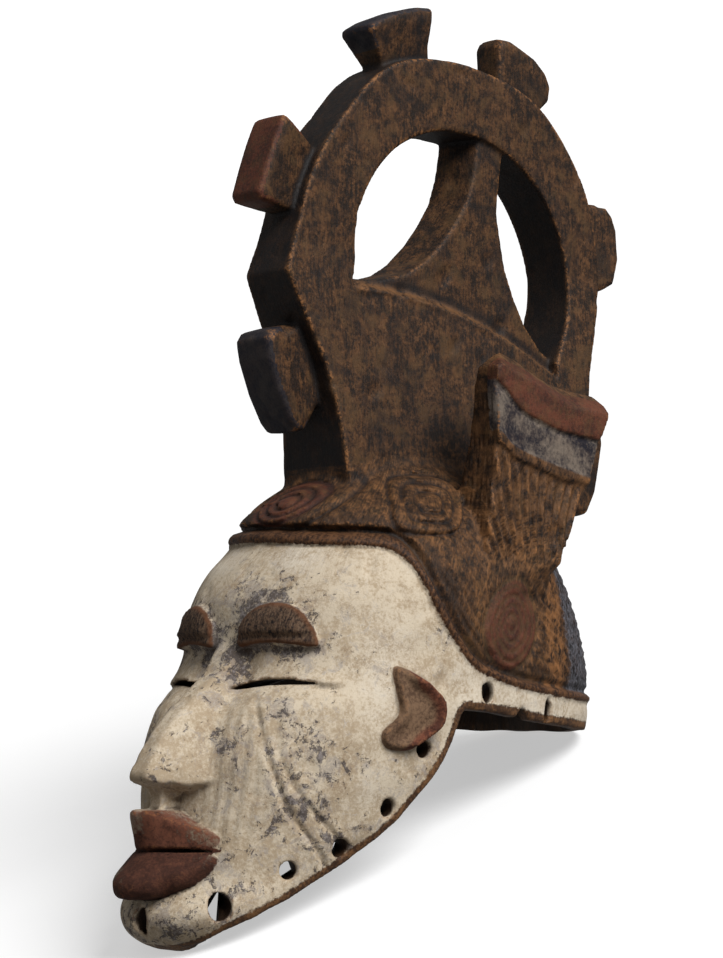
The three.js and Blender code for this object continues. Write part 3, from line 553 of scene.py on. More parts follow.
notchF, notchUp = rim["notch"]
notch = np.maximum(np.abs(gridF - notchF) + (gridU - notchUp) * 0.9, np.maximum(60 - gridT, gridU - notchUp))
rimCut = np.minimum(rimCut, notch)
solid = softMax(solid, -single(rimCut), 1.6)
solid = softMax(solid, -hollow, 2.5)
tilt = math.radians(rest["tilt"])
groundGap = gridU - (rest["groundUp"] + (rest["groundForward"] - gridF) * math.tan(tilt))
groundGap = groundGap * math.cos(tilt)
solid = np.maximum(solid, -groundGap)
slits = {
    "reach": (12.5, 59), "from": 92, "up": [(13, 15.8), (18, 16.9), (24, 17.9), (33, 18.8), (45, 19.0), (60, 17.9)],
    "half": [(9, 0.2), (14, 0.9), (22, 1.4), (32, 1.5), (44, 1.3), (58, 0.2)]}
slitUp = single(heightLine(np.abs(sideAxis), slits["up"]))[:, None, None]
slitHalf = single(heightLine(np.abs(sideAxis), slits["half"]))[:, None, None]
slitIn, slitOut = slits["reach"]
slit = np.maximum(np.abs(gridU - slitUp) - slitHalf, np.maximum(slitIn - gridT, gridT - slitOut))
solid = np.maximum(solid, -np.maximum(slit, slits["from"] - gridF))
del hollow, rimCut, notch, cheekCut, groundGap, slit

# lashing holes: side, forward, up, width, height, drill azimuth, depth
holes = [
    (-0.5, 178, -95.0, 9.0, 12.5, 0, 26), (35.5, 165, -87.5, 11, 13.5, 68, 26), (53, 137, -70.6, 8.5, 9, 70, 26),
    (63.6, 113, -60.4, 9, 9, 90, 26), (72, 90.3, -41.5, 8, 9, 90, 26), (78, 72, -13.4, 9, 9, 90, 26),
    (79, 31, 13.8, 8, 10.5, 90, 26), (74, -16.4, 5, 5.5, 12, 90, 26), (79, 34, 17.5, 1.5, 1.5, 90, 3)]
for holeS, holeF, holeU, width, height, turn, reach in holes:
    for mirror in ((1,) if abs(holeS) < 1 else (1, -1)):
        a = math.radians(turn)
        i, j, k = (np.flatnonzero(np.abs(axis - at) < size) for axis, at, size in
                   ((sideAxis, holeS * mirror, 42), (frontAxis, holeF, 42), (upAxis, holeU, 16)))
        s = sideAxis[i][:, None, None] - holeS * mirror
        f = frontAxis[j][None, :, None] - holeF
        u = upAxis[k][None, None, :] - holeU
        sideways = s * math.cos(a) * mirror - f * math.sin(a)
        depth = s * math.sin(a) * mirror + f * math.cos(a)
        ellipse = (np.sqrt((sideways / (width / 2)) ** 2 + (u / (height / 2)) ** 2) - 1) * min(width, height) / 2
        bore = softMax(ellipse, np.maximum(-depth - reach, depth - reach), 0.5)
        solid[np.ix_(i, j, k)] = softMax(solid[np.ix_(i, j, k)], -bore, 0.7)
print("cuts ready")


def surfaceNets(values):
    inside = values < 0
    cells = tuple(n - 1 for n in values.shape)
    count = np.zeros(cells[0] * cells[1] * cells[2], np.float32)
    sums = [np.zeros_like(count) for _ in range(3)]
    faces = []
    for axis in range(3):
        a, b = [slice(None)] * 3, [slice(None)] * 3
        a[axis], b[axis] = slice(0, -1), slice(1, None)
        a, b = tuple(a), tuple(b)
        where = np.argwhere(inside[a] != inside[b])
        near, far = values[a][tuple(where.T)], values[b][tuple(where.T)]
        point = single(where)
        point[:, axis] += near / (near - far)
        others = [k for k in range(3) if k != axis]
        corners = []
        for da, db in ((0, 0), (-1, 0), (-1, -1), (0, -1)):
            cell = where.copy()
            cell[:, others[0]] += da
            cell[:, others[1]] += db
            flat = np.ravel_multi_index(np.clip(cell, 0, np.array(cells) - 1).T, cells)
            corners.append(flat)
            count += single(np.bincount(flat, minlength=len(count)))
            for k in range(3):
                sums[k] += single(np.bincount(flat, point[:, k], minlength=len(count)))
        quad = np.stack(corners, 1)
        flip = (near > 0) ^ (axis == 1)
        quad[flip] = quad[flip][:, ::-1]
        faces.append(quad)
    used = np.flatnonzero(count)
    lookup = np.full(len(count), -1)
    lookup[used] = np.arange(len(used))
    return np.stack([total[used] / count[used] for total in sums], 1), lookup[np.concatenate(faces)]


for axis in range(3):
    np.moveaxis(solid, axis, 0)[[0, -1]] = 5  # nothing of the block touches the grid's border
points, quads = surfaceNets(solid)
points = points * grid["step"] + np.array([sideAxis[0], frontAxis[0], upAxis[0]])

# the largest connected surface is the block; loose crumbs are dropped
label = np.arange(len(points))
links = np.concatenate([quads[:, [0, 1]], quads[:, [1, 2]], quads[:, [2, 3]]])
while True:
    low = np.minimum(label[links[:, 0]], label[links[:, 1]])
    fresh = label.copy()
    np.minimum.at(fresh, links[:, 0], low)
    np.minimum.at(fresh, links[:, 1], low)
    fresh = fresh[fresh]
    if np.array_equal(fresh, label):
        break
    label = fresh
keep = label == np.bincount(label).argmax()
quads = quads[keep[quads[:, 0]]]
points, quads = points[keep], (np.cumsum(keep) - 1)[quads]
print("surface", len(points), len(quads))


def tip(y, z, angle):
    return y * math.cos(angle) + z * math.sin(angle), -y * math.sin(angle) + z * math.cos(angle)


def toRow(p):
    back, up = tip(-p[:, 1], p[:, 2], tilt)
    return (np.stack([p[:, 0], back, up], 1) + rest["shift"]) / 1000


def toCarver(p):
    q = p * 1000 - rest["shift"]
    back, up = tip(q[:, 1], q[:, 2], -tilt)
    return np.stack([q[:, 0], -back, up], 1)


def headPlace(p):
    ahead = p[:, 1] - sectionValue(p[:, 2], 4)
    r = np.hypot(p[:, 0], ahead) + 1e-6
    return r, p[:, 0] / r, ahead / r, np.degrees(np.arctan2(p[:, 0], ahead))


def hollowGap(p):
    r, sine, cosine, _ = headPlace(p)
    lower, upper = (headRadius(sine, cosine, p[:, 2] + rise) for rise in (0, headWall["dome"]))
    inner = np.minimum(lower, upper) - headWall["wall"]
    return np.where(p[:, 2] > headWall["top"], 20, r - inner)


mesh = bpy.data.meshes.new("igboMask")
mesh.vertices.add(len(points))
mesh.vertices.foreach_set("co", single(toRow(points)).ravel())
mesh.loops.add(len(quads) * 4)
mesh.loops.foreach_set("vertex_index", quads[:, ::-1].astype(np.int32).ravel())
mesh.polygons.add(len(quads))
mesh.polygons.foreach_set("loop_start", np.arange(0, len(quads) * 4, 4, dtype=np.int32))
mesh.update(calc_edges=True)
mesh.validate()
piece = bpy.data.objects.new("igboMask", mesh)
bpy.context.scene.collection.objects.link(piece)

group = piece.vertex_groups.new(name="hollow")
group.add(np.flatnonzero((hollowGap(points) < 4) & (points[:, 2] < 126)).tolist(), 1.0, "REPLACE")
target = budget["skin"] + budget["hollow"]
if len(quads) * 2 > target:
    thin = piece.modifiers.new("thin", "DECIMATE")
    thin.ratio = target / (len(quads) * 2)
    thin.vertex_group = "hollow"
    thin.vertex_group_factor = 0.6
    thin.use_collapse_triangulate = True
    mesh = bpy.data.meshes.new_from_object(piece.evaluated_get(bpy.context.evaluated_depsgraph_get()))
    piece.modifiers.clear()
    piece.data = mesh
piece.vertex_groups.clear()
mesh.name = "igboMask"
print("mesh", len(mesh.vertices), len(mesh.polygons))

# values on the vertices: signed distances in mm, positive inside each painted area
flat = np.empty(len(mesh.vertices) * 3, np.float32)
mesh.vertices.foreach_get("co", flat)
spot = toCarver(flat.reshape(-1, 3).astype(float))
r, sine, cosine, azimuth = headPlace(spot)
s, f, u = spot.T
out, turned = np.abs(s), np.abs(azimuth)
skinGap = r - headRadius(sine, cosine, u)
isHead = (skinGap < 14) & (u < 134)
absent = -20.0


def skinValue(image):
    return onSkin(image, azimuth, u)


def onHead(values, otherwise=absent):
    return np.where(isHead, values, otherwise)


def spotShare(middleAzimuth, middleUp, width, height):
    return bell(turned - middleAzimuth, width) * bell(u - middleUp, height)


def onPlane(image):
    return np.abs(sampleMap(image, f, u, frontAxis[0], upAxis[0], grid["step"]))


aboveHere = skinValue(above)
sunk = skinValue(lift) - skinGap  # how far below the carved skin: rim edge and hole walls
onLips = 0.5 - np.minimum(lipPoints(s, f, u, "upper"), lipPoints(s, f, u, "lower"))
onLips = np.where(np.abs(u - lips["parting"]) < (33 - out) * 0.25, np.maximum(onLips, 1.5), onLips)
# painted shade: the crest's wheel and window edges are darkened, and the horn's shadow is painted on the panel's foot
crestEdgeShade = fade(np.minimum(onPlane(outerPlane), onPlane(windowPlane)), 1.5, 5)
crestEdgeShade = crestEdgeShade * fade(out, plateWidth(u) - 4, plateWidth(u) - 0.8) * (u > 128)
panelFootShade = 0.5 * (out < 30) * bell(u - 148, 22) * bell(f - 5, 35)
# painted highlight: the up-facing bevel along the ledge is painted paler
ledgeHighlightBand = (f > -76) & (f < 64) & (out > 10) & (out < 24)
brush = spotShare(18, -24, 8, 30) + 0.8 * spotShare(12, 84, 60, 12) + bell(f - 188, 7) * bell(u + 28, 12)
onEar = np.where(isHead & (skinGap > -1.5), 0.7 - skinValue(earGap), absent)
hornGap = regionDistance(f, u, horn["outline"])

# grey-violet stains: round the brow, behind the scars, and in spots of weight, azimuth, height and half sizes
stains = {
    "brow": (0.9, 6), "rearScar": (0.6, 5), "frontScar": (0.25, 4), "clean": 0.5,
    "spots": [(0.9, 11, 36, 8, 14), (0.6, 44, -18, 10, 22), (0.35, 50, -48, 16, 14), (0.6, 12, -98, 22, 9),
        (-0.8, 22, 80, 13, 8), (0.25, 35, -62, 14, 12), (-0.45, 64, 20, 14, 40), (-0.4, 62, -38, 11, 15)]}
stain = stains["brow"][0] * bell(np.maximum(skinValue(browGap), 0), stains["brow"][1]) * (1 - 0.7 * ease(u, 60, 70))
stain += stains["rearScar"][0] * bell(skinValue(rearScar) - 2, stains["rearScar"][1])
stain += stains["frontScar"][0] * bell(skinValue(frontScar), stains["frontScar"][1])
stain += sum(weight * spotShare(*where) for weight, *where in stains["spots"])
stain -= stains["clean"] * ease(turned, 85, 100)

# painted knob ends: 0 and 2 blue-black, 1 red
knobFace, knobKind = np.full(len(spot), absent), np.zeros(len(spot))
outward = np.hypot(f - wheel["forward"] - 8, u - 238) - knobs["painted"]
offWheel = (out < 20) & (regionDistance(f, u, wheelRim) > 11)
for number, knob in enumerate(knobs["list"]):
    shape = regionDistance(f, u, knob["outline"])
    gap = np.where((np.abs(shape - 0.25) < 2.75) & offWheel, outward, absent)
    knobKind = np.where(gap > knobFace, number, knobKind)
    knobFace = np.maximum(knobFace, gap)
splitHere, blueHere, _ = hornLines(f, u)
onHorn = (out > 72) & (hornGap < 4) & (u > 95)
onBlue = np.where(onHorn, np.minimum(blueHere, -splitHere), absent)
onRed = np.where(isHead & (u > 20), skinValue(ovalRed), np.where(onHorn, splitHere + 0.3, absent))

paint = {
    "white": np.where(isHead | (u < 60), 0.1 - aboveHere - skinValue(rollHalf), absent),
    "bare": ease(sunk, 1.5, 2.6) * (u < 100) * (np.hypot(s, u + 35) > 9),
    "roll": onHead(skinValue(rollHalf) + 0.4 - np.abs(aboveHere)),
    "lip": np.where((f > 146) & (out < 36) & (skinGap > -1.0), onLips, absent),
    # painted light: the upper lip, shaded under the nose, is painted lighter than the lower lip
    "upperLip": ease(u, -63, -60),
    "brow": onHead(-skinValue(browGap)), "ear": onEar, "earInner": onEar + 7 * fade(turned, 71, 78),
    "rim": np.minimum(regionDistance(f, u, rim["middle"]), np.maximum(regionDistance(f, u, rim["cheek"]), 12 - out)),
    "red": np.maximum(onRed, np.where(knobKind == 1, knobFace, absent)),
    "blue": np.maximum(onBlue, np.where((knobKind == 0) | (knobKind == 2), knobFace, absent)),
    "hair": onHead(aboveHere - 5, -5), "facet": np.where(isHead & (u > 12), turned - 145, absent),
    "hollow": ease(5.5 - hollowGap(spot), -1.5, 1.5) * (u < 126),
    "stain": np.where(isHead & (u < 92), stain, 0), "brush": onHead(np.clip(brush, 0, 1), 0),
    "ring": onHead(skinValue(ringLine), 0),
    # painted highlight along the ledge's bevel
    "ledge": ledgeHighlightBand * bell(u - heightLine(f, ledgeLine) + 3.2, 2.2),
    "crestShade": np.maximum(crestEdgeShade, panelFootShade),
    "hornWood": (out > 60) * ease(-hornGap, -4, 2) * ease(u, 66, 84)}

# how far each vertex stands off its smoothed neighbourhood: edges wear, hollows are darkened with dirt and painted
# shade
ends = np.empty(len(mesh.edges) * 2, np.int32)
mesh.edges.foreach_get("vertices", ends)
end0, end1 = ends.reshape(-1, 2).T
degree = np.bincount(end0, minlength=len(spot)) + np.bincount(end1, minlength=len(spot))
normals = np.empty(len(spot) * 3, np.float32)
mesh.vertices.foreach_get("normal", normals)
normals = toCarver(normals.reshape(-1, 3).astype(float) / 1000) - toCarver(np.zeros((1, 3)))


def smoothed(values, rounds):
    v = values.copy()
    for _ in range(rounds):
        for k in range(3):
            total = np.bincount(end0, v[end1, k], minlength=len(v)) + np.bincount(end1, v[end0, k], minlength=len(v))
            v[:, k] = 0.35 * v[:, k] + 0.65 * total / np.maximum(degree, 1)
    return v


fine = smoothed(spot, max(1, round(8 / grid["step"] ** 2)))
broad = smoothed(fine, max(3, round(34 / grid["step"] ** 2)))
paint["wearFine"] = np.einsum("ij,ij->i", spot - fine, normals)
paint["wearBroad"] = np.einsum("ij,ij->i", spot - broad, normals)
for name, values in paint.items():
    mesh.attributes.new(name, "FLOAT", "POINT").data.foreach_set("value", single(values))
wrapped = np.stack([azimuth * relief["mmPerDegree"], u, np.zeros(len(u))], 1)
for name, values in {"place": spot, "wrap": wrapped}.items():
    mesh.attributes.new(name, "FLOAT_VECTOR", "POINT").data.foreach_set("vector", single(values).ravel())
mesh.polygons.foreach_set("use_smooth", np.ones(len(mesh.polygons), bool))
print("painted")


class Sock:
    # a shader socket that can be used in ordinary sums
    def __init__(self, shader, socket):
        self.shader, self.socket = shader, socket

    def op(self, kind, a, b):
        return self.shader.node("ShaderNodeMath", {"operation": kind}, {0: a, 1: b})

    def __add__(self, other):
        return self.op("ADD", self, other)

    def __radd__(self, other):
        return self.op("ADD", other, self)

    def __sub__(self, other):
        return self.op("SUBTRACT", self, other)

    def __rsub__(self, other):
        return self.op("SUBTRACT", other, self)

    def __mul__(self, other):
        return self.op("MULTIPLY", self, other)

    def __rmul__(self, other):
        return self.op("MULTIPLY", other, self)

    def atMost(self, other):
        return self.op("MINIMUM", self, other)

    def ramp(self, low, high, a=0.0, b=1.0):
        return self.shader.node("ShaderNodeMapRange", {"interpolation_type": "SMOOTHSTEP"},
                                {"Value": self, "From Min": low, "From Max": high, "To Min": a, "To Max": b})


class Shader:
    def __init__(self, name):
        self.material = bpy.data.materials.new(name)
        self.material.use_nodes = True
        self.tree = self.material.node_tree
        self.tree.nodes.clear()

    def node(self, kind, settings, inputs, output=0):
        node = self.tree.nodes.new(kind)
        for key, value in settings.items():
            setattr(node, key, value)
        for key, value in inputs.items():
            socket = node.inputs[key]
            if isinstance(value, Sock):
                self.tree.links.new(value.socket, socket)
            elif socket.type == "RGBA":
                socket.default_value = (*look.get(value, value), 1.0)
            else:
                socket.default_value = value
        return Sock(self, node.outputs[output] if len(node.outputs) else None)

    def attribute(self, name, output="Fac"):
        return self.node("ShaderNodeAttribute", {"attribute_name": name}, {}, output)

    def scaled(self, vector, scale):
        return self.node("ShaderNodeVectorMath", {"operation": "MULTIPLY"}, {0: vector, 1: scale})

    def noise(self, vector, scale, detail, rough, warp=0.0):
        inputs = {"Vector": vector, "Scale": scale, "Detail": detail, "Roughness": rough, "Distortion": warp}
        return self.node("ShaderNodeTexNoise", {"noise_dimensions": "3D"}, inputs, "Fac")

    def mix(self, factor, a, b):
        return self.node("ShaderNodeMix", {"data_type": "RGBA", "clamp_factor": True}, {0: factor, 6: a, 7: b}, 2)

    def coat(self, base, *coats):
        # lays each coat, a share and a colour, over the base
        for share, colour in coats:
            base = self.mix(share, base, colour)
        return base


look = {
    "darkWood": (0.013, 0.0075, 0.0048), "midWood": (0.080, 0.035, 0.0135), "paleWood": (0.170, 0.080, 0.032),
    "olive": (0.068, 0.039, 0.016), "orange": (0.260, 0.112, 0.038), "sootAndShade": (0.0065, 0.0055, 0.006),
    "kaolin": (0.545, 0.460, 0.345), "kaolinWarm": (0.375, 0.290, 0.195), "kaolinPale": (0.640, 0.575, 0.480),
    "violet": (0.205, 0.180, 0.178), "chipDark": (0.052, 0.042, 0.042), "stainBrown": (0.205, 0.130, 0.072),
    "brushed": (0.230, 0.175, 0.118), "hollowDirtAndShade": (0.070, 0.046, 0.030), "redDark": (0.042, 0.014, 0.0085),
    "red": (0.1188, 0.0327, 0.0172), "blue": (0.0095, 0.0095, 0.016), "blueGrey": (0.178, 0.143, 0.113),
    "facet": (0.131, 0.136, 0.160), "edge": (0.170, 0.078, 0.030), "inner": (0.045, 0.024, 0.013),
    "rollDark": (0.022, 0.0095, 0.0055), "roll": (0.125, 0.056, 0.024), "rimDark": (0.045, 0.022, 0.012),
    "rim": (0.180, 0.088, 0.036), "cutDark": (0.020, 0.011, 0.007), "lipDark": (0.036, 0.013, 0.008),
    "lip": (0.078, 0.028, 0.0165), "upperLip": (0.170, 0.060, 0.034), "earDark": (0.062, 0.021, 0.0125),
    "ear": (0.180, 0.062, 0.034), "scoopDark": (0.070, 0.038, 0.022), "scoop": (0.175, 0.105, 0.061),
    "browDark": (0.011, 0.008, 0.0085), "brow": (0.115, 0.068, 0.042), "browPale": (0.205, 0.150, 0.098),
    "browEdge": (0.115, 0.046, 0.020)}
m = Shader("carved_wood")
place, wrap = m.attribute("place", "Vector"), m.attribute("wrap", "Vector")
mask = {name: m.attribute(name) for name in paint}

blotch = m.noise(place, 0.028, 4, 0.6)
cluster = m.noise(place, 0.034, 4, 0.6)
patch = m.noise(place, 0.065, 6, 0.66, 0.4)
mid = m.noise(place, 0.16, 6, 0.66)
speckle = m.noise(place, 0.60, 5, 0.70)
crumb = m.noise(place, 1.4, 4, 0.72)
chipField = m.noise(place, 0.17, 10, 0.76, 0.5)
smear = m.noise(place, 0.11, 9, 0.74, 0.9)
grain = m.noise(m.scaled(place, (0.70, 0.70, 0.09)), 1.0, 7, 0.70, 0.4)
grainFine = m.noise(m.scaled(place, (2.4, 2.4, 0.28)), 1.0, 4, 0.68)
strands = m.noise(m.scaled(wrap, (0.80, 0.20, 1.0)), 1.0, 6, 0.66, 0.7)
brushMark = m.noise(m.scaled(wrap, (1.0, 0.07, 1.0)), 1.0, 6, 0.62, 0.3)
ragged = (mid - 0.5) * 3.4 + (speckle - 0.5) * 3.6


def sunken(name, low, high):
    return (0.0 - mask[name]).ramp(low, high)


def painted(name, rough, low, high):
    # the painted area with a ragged border
    return (mask[name] + ragged * rough).ramp(low, high)


# bare wood: streaks, olive and sooty patches, thin broken edge wear, soot and painted shade in the hollows, painted
# shade on the crest's edges and foot, and a painted highlight along the ledge
sooty = (m.noise(place, 0.042, 8, 0.72, 0.9) * 0.85 + speckle * 0.22).ramp(0.52, 0.64)
onHair = mask["hair"].ramp(0, 4)
nearRoll = mask["hair"].ramp(4, 9, 1.0, 0.0) * onHair
edgeWear = mask["wearBroad"].ramp(0.9, 2.6) * (mid * 0.6 + speckle * 0.8).ramp(0.66, 0.84)
fineWear = mask["wearFine"].ramp(0.22, 0.55) * (speckle * 0.7 + mid * 0.5).ramp(0.56, 0.72)
edgeWear = (edgeWear + fineWear * 0.75).atMost(0.85)
flecks = m.noise(m.scaled(place, (0.8, 0.8, 0.22)), 1.0, 8, 0.80)
flecks = (flecks * 0.7 + speckle * 0.4).ramp(0.625, 0.70) * patch.ramp(0.44, 0.62) * 0.45
wood = m.coat(
    "darkWood",
    ((grain * 0.4 + mid * 0.35 + patch * 0.3 + (speckle - 0.5) * 0.35).ramp(0.44, 0.62), "midWood"),
    ((grainFine * 0.4 + mid * 0.4 + speckle * 0.3).ramp(0.55, 0.68) * 0.60, "paleWood"),
    ((patch * 0.8 + speckle * 0.25).ramp(0.52, 0.64) * 0.50, "olive"),
    (sooty * (0.60 - onHair * 0.35), "sootAndShade"),
    ((strands * 0.7 + speckle * 0.4).ramp(0.44, 0.60, 0.45, 0.0) * onHair, "darkWood"),
    ((strands * 0.5 + mid * 0.5).ramp(0.40, 0.62) * (onHair * 0.40 + mask["hornWood"] * 0.65), "paleWood"),
    ((strands * 0.55 + mid * 0.35 + patch * 0.35).ramp(0.64, 0.74) * onHair * 0.38, "orange"),
    (nearRoll * (mid * 0.6 + speckle * 0.5).ramp(0.48, 0.58) * 0.6, "sootAndShade"),
    ((edgeWear + flecks).atMost(0.85), "orange"),
    # soot and painted shade in the broad hollows
    (sunken("wearBroad", 0.3, 1.8) * 0.65, "sootAndShade"),
    ((crumb * 0.8 + mid * 0.25).ramp(0.70, 0.74) * 0.35, "kaolinWarm"),
    # painted shade on the crest's edges and a painted shadow on the panel's foot, in soot colour
    (mask["crestShade"] * 0.78, "sootAndShade"),
    # painted highlight: the ledge's up-facing bevel is painted paler
    (mask["ledge"] * (speckle * 0.6 + mid * 0.5).ramp(0.42, 0.60) * 0.75, "paleWood"))

redPaint = m.coat(
    "redDark",
    ((speckle * 0.5 + patch * 0.6).ramp(0.42, 0.66), "red"),
    ((mid * 0.5 + crumb * 0.5).ramp(0.47, 0.60) * 0.50, "olive"))
blueWear = (mid * 0.25 + speckle * 0.25 + patch * 0.55).ramp(0.44, 0.64) * (mask["hornWood"] * 0.85 + 0.15)
facetArea = mask["facet"] + ragged
facetEdge = facetArea.ramp(-11, -8) * facetArea.ramp(-3, 0, 1.0, 0.0)
unworn = 1 - edgeWear * 0.9
wood = m.coat(
    wood,
    (painted("red", 0.5, -0.6, 0.8) * unworn * 0.80, redPaint),
    (mask["ring"].ramp(0.25, 0.9) * 0.60, "sootAndShade"),
    (sunken("ring", 0.3, 0.8) * 0.45, "olive"),
    (painted("blue", 0.5, -0.6, 0.8) * unworn * 0.90, m.mix(blueWear, "blue", "blueGrey")),
    (facetEdge * (strands * 0.5 + mid * 0.5).ramp(0.42, 0.58) * 0.65, "orange"),
    (facetArea.ramp(-1.0, 1.5) * 0.85, m.mix((grain * 0.6 + speckle * 0.5).ramp(0.45, 0.68), "sootAndShade", "facet")),
    (painted("roll", 0.4, -0.6, 0.8) * 0.85,
     m.mix((strands * 0.4 + speckle * 0.5 + mid * 0.2).ramp(0.48, 0.62), "rollDark", "roll")))

# white ground: warm cream, brown brush marks, clustered grey-violet chips, dirt and painted shade in the cuts
stained = mask["stain"]
grey = (smear + (cluster - 0.5) * 0.45 + stained * 0.10 + (crumb - 0.5) * 0.25).ramp(0.53, 0.63)
chipLevel = chipField + (cluster - 0.5) * 0.45 + stained * 0.115 + (crumb - 0.5) * 0.22
chips = chipLevel.ramp(0.600, 0.630)
# dirt and painted shade: darker in the fine cuts and the broad hollows
hollowDirtAndShade = sunken("wearFine", 0.14, 0.6) * 0.60 + sunken("wearBroad", 0.8, 3.0) * 0.50
rubbed = mask["wearFine"].ramp(0.26, 0.62) * (speckle * 0.6 + mid * 0.5).ramp(0.50, 0.64)
kaolin = m.coat(
    "kaolinWarm",
    ((blotch * 0.40 + mid * 0.40 + (speckle - 0.5) * 0.5 + 0.10).ramp(0.42, 0.58), "kaolin"),
    ((smear * 0.5 + crumb * 0.5).ramp(0.52, 0.62) * (1 - stained).ramp(0.2, 1.0) * 0.55, "kaolinPale"),
    (sunken("stain", 0.1, 0.6) * (speckle * 0.5 + smear * 0.5).ramp(0.35, 0.6) * 0.6, "kaolinPale"),
    ((patch * 0.6 + crumb * 0.45).ramp(0.54, 0.64) * 0.40, "stainBrown"),
    ((brushMark * 0.8 + speckle * 0.2).ramp(0.42, 0.62) * mask["brush"] * 0.42, "brushed"),
    (grey * 0.45, "violet"),
    (chips * 0.85, m.mix((speckle * 0.7 + mid * 0.4).ramp(0.52, 0.66), "chipDark", "violet")),
    (hollowDirtAndShade.atMost(0.85), "hollowDirtAndShade"),
    (rubbed * 0.80, "edge"))
whiteArea = painted("white", 0.6, -0.3, 0.5) * painted("rim", 0.9, 3.8, 4.8)
whiteArea = whiteArea * (1 - mask["hollow"]) * (1 - mask["bare"])
rimWood = m.coat(
    "rimDark",
    ((speckle * 0.6 + patch * 0.5).ramp(0.45, 0.66), "rim"),
    (mask["bare"] * (1 - mask["rim"].ramp(2.0, 5.0, 1.0, 0.0)) * 0.9, "cutDark"))

# features: lips, ears, brows and the dark inside
redWear = (mid * 0.5 + speckle * 0.6).ramp(0.46, 0.70)
lipPaint = m.coat(
    "lipDark",
    (redWear, "lip"),
    # painted light: the upper lip is painted lighter to lift the shade it lies in
    (mask["upperLip"] * (mid * 0.6 + speckle * 0.5).ramp(0.35, 0.65) * 0.6, "upperLip"),
    ((crumb * 0.7 + mid * 0.35).ramp(0.58, 0.68) * 0.35, "edge"),
    (mask["wearFine"].ramp(0.18, 0.5) * speckle.ramp(0.46, 0.6) * 0.4, "orange"),
    # soot and painted shade in the hollows of the lips
    (sunken("wearBroad", 0.3, 1.6) * 0.85, "sootAndShade"))
earScoop = m.mix((speckle * 0.6 + patch * 0.5).ramp(0.42, 0.66), "scoopDark", "scoop")
earWood = m.coat(
    "earDark",
    (redWear, "ear"),
    (painted("earInner", 0.6, 4.6, 7.2), earScoop),
    (mask["wearFine"].ramp(0.26, 0.6) * speckle.ramp(0.45, 0.60) * 0.35, "orange"))
browWood = m.coat(
    "browDark",
    ((speckle * 0.6 + strands * 0.5).ramp(0.44, 0.62), "brow"),
    ((crumb * 0.6 + strands * 0.45).ramp(0.54, 0.64) * 0.50, "browPale"),
    ((mask["brow"] + ragged * 0.8).ramp(0.4, 3.0, 0.85, 0.0), "browEdge"))
surface = m.coat(
    wood,
    (mask["white"].ramp(-0.5, 0.5), rimWood),
    (whiteArea, kaolin),
    (painted("lip", 0.25, -0.2, 0.5), lipPaint),
    (painted("ear", 0.3, -0.2, 0.5), earWood),
    (painted("brow", 0.35, -0.3, 0.5), browWood),
    (mask["hollow"], m.mix((mid * 0.5 + grain * 0.5).ramp(0.4, 0.65), "darkWood", "inner")))

roughness = whiteArea.ramp(0, 1, 0.58, 0.88) + (speckle - 0.5) * 0.3
height = whiteArea * 0.45 * (1 - chips) + grain * (1 - whiteArea) * 0.6 + speckle * 0.32 + crumb * 0.16
height = height + strands * onHair + chipField * whiteArea * 0.35
bump = m.node("ShaderNodeBump", {}, {"Strength": 0.75, "Distance": 0.0011, "Height": height})
shader = m.node(
    "ShaderNodeBsdfPrincipled", {},
    {"Base Color": surface, "Roughness": roughness, "Normal": bump, "Specular IOR Level": 0.22})
m.node("ShaderNodeOutputMaterial", {}, {"Surface": shader})
mesh.materials.clear()
mesh.materials.append(m.material)
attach(piece, "root")
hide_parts("mask")
print("material ready")

# a pale floor that sweeps up far away, so that no horizon shows
studio = {
    "flat": 4.0, "far": 80.0, "rise": 22.0, "sides": 96, "shade": 0.52, "glow": 0.50, "sky": 0.23,
    "key": (1.0, 0.26, 0.92), "spread": 34, "power": 4.15}
turns = np.linspace(0, 2 * math.pi, studio["sides"], endpoint=False)
rings = ((studio["flat"], 0), (studio["far"], studio["rise"]))
corners = [(0, 0, 0)] + [(math.cos(a) * reach, math.sin(a) * reach, height) for reach, height in rings for a in turns]
n = studio["sides"]
faces = []
for here, after in [(1 + i, 1 + (i + 1) % n) for i in range(n)]:
    faces += [(0, here, after), (here, n + here, n + after, after)]
floorMesh = bpy.data.meshes.new("floor")
floorMesh.from_pydata(corners, [], faces)
floor = bpy.data.objects.new("floor", floorMesh)
bpy.context.scene.collection.objects.link(floor)
floorLook = Shader("paleFloor")
paleFloor = floorLook.node("ShaderNodeBsdfPrincipled", {}, {
    "Base Color": (studio["shade"],) * 3, "Roughness": 0.9, "Specular IOR Level": 0.1,
    "Emission Color": (1.0, 1.0, 1.0), "Emission Strength": studio["glow"]})
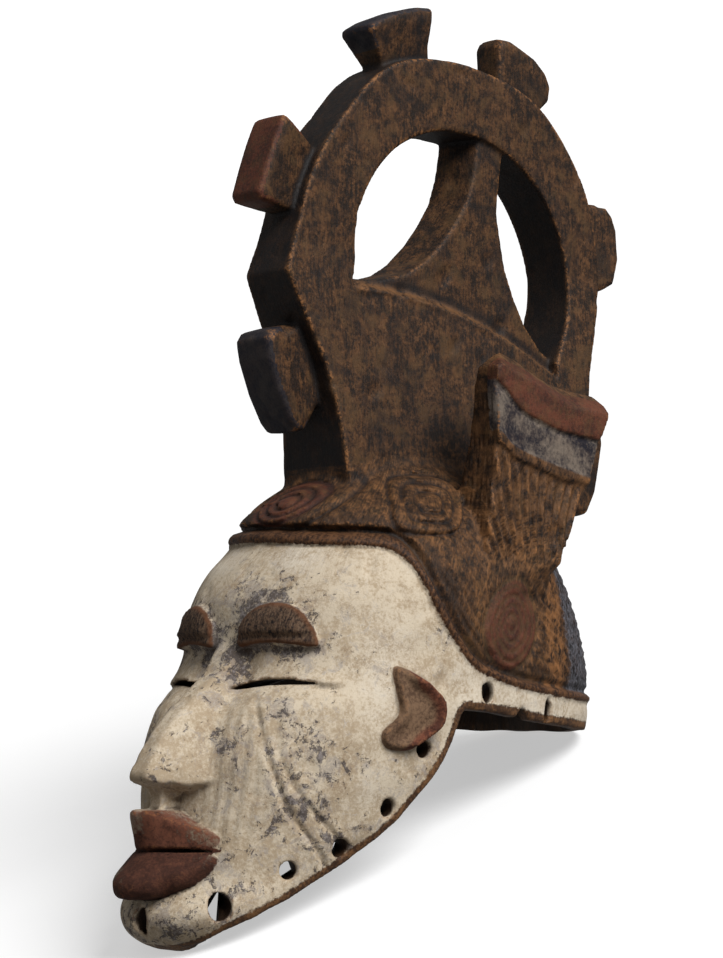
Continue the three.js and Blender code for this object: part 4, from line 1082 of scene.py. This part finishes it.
floorLook.node("ShaderNodeOutputMaterial", {}, {"Surface": paleFloor})
floorMesh.materials.append(floorLook.material)
floor.visible_diffuse = False
floor.visible_glossy = False

world = bpy.data.worlds.new("studio")
bpy.context.scene.world = world
world.use_nodes = True
world.node_tree.nodes["Background"].inputs["Color"].default_value = (1, 1, 1, 1)
world.node_tree.nodes["Background"].inputs["Strength"].default_value = studio["sky"]
bpy.context.scene.view_settings.view_transform = "Standard"


def aim(thing, position, target, up=(0, 0, 1)):
    back = np.array(position, float) - np.array(target, float)
    back /= np.linalg.norm(back)
    right = np.cross(up, back)
    right /= np.linalg.norm(right)
    matrix = np.eye(4)
    matrix[:3, 0], matrix[:3, 1], matrix[:3, 2], matrix[:3, 3] = right, np.cross(back, right), back, position
    thing.matrix_world = Matrix(matrix.tolist())


lamp = bpy.data.lights.new("key", "SUN")
lamp.angle, lamp.energy = math.radians(studio["spread"]), studio["power"]
lampObject = bpy.data.objects.new("key", lamp)
bpy.context.scene.collection.objects.link(lampObject)
aim(lampObject, studio["key"], (0, 0, 0))

camera = {
    "azimuth": 49.0, "elevation": -4.5, "target": (0.0, 45.0, 124.0), "distance": 1500.0, "mmPerPixel": 0.515,
    "imageHeight": 958, "sensor": 36}
a, e = math.radians(camera["azimuth"]), math.radians(camera["elevation"])
target = np.array(camera["target"])
eyePoint = target + camera["distance"] * np.array([math.sin(a) * math.cos(e), math.cos(a) * math.cos(e), math.sin(e)])
rowTarget, rowEye, rowTop, rowZero = toRow(np.array([target, eyePoint, (0, 0, 1000.0), (0, 0, 0)]))
cameraData = bpy.data.cameras.new("camera")
cameraData.sensor_fit = "VERTICAL"
cameraData.sensor_height = camera["sensor"]
cameraData.lens = camera["sensor"] * (camera["distance"] / camera["mmPerPixel"]) / camera["imageHeight"]
cameraData.clip_end = 200
cameraObject = bpy.data.objects.new("camera", cameraData)
bpy.context.scene.collection.objects.link(cameraObject)
aim(cameraObject, rowEye, rowTarget, rowTop - rowZero)
bpy.context.scene.camera = cameraObject
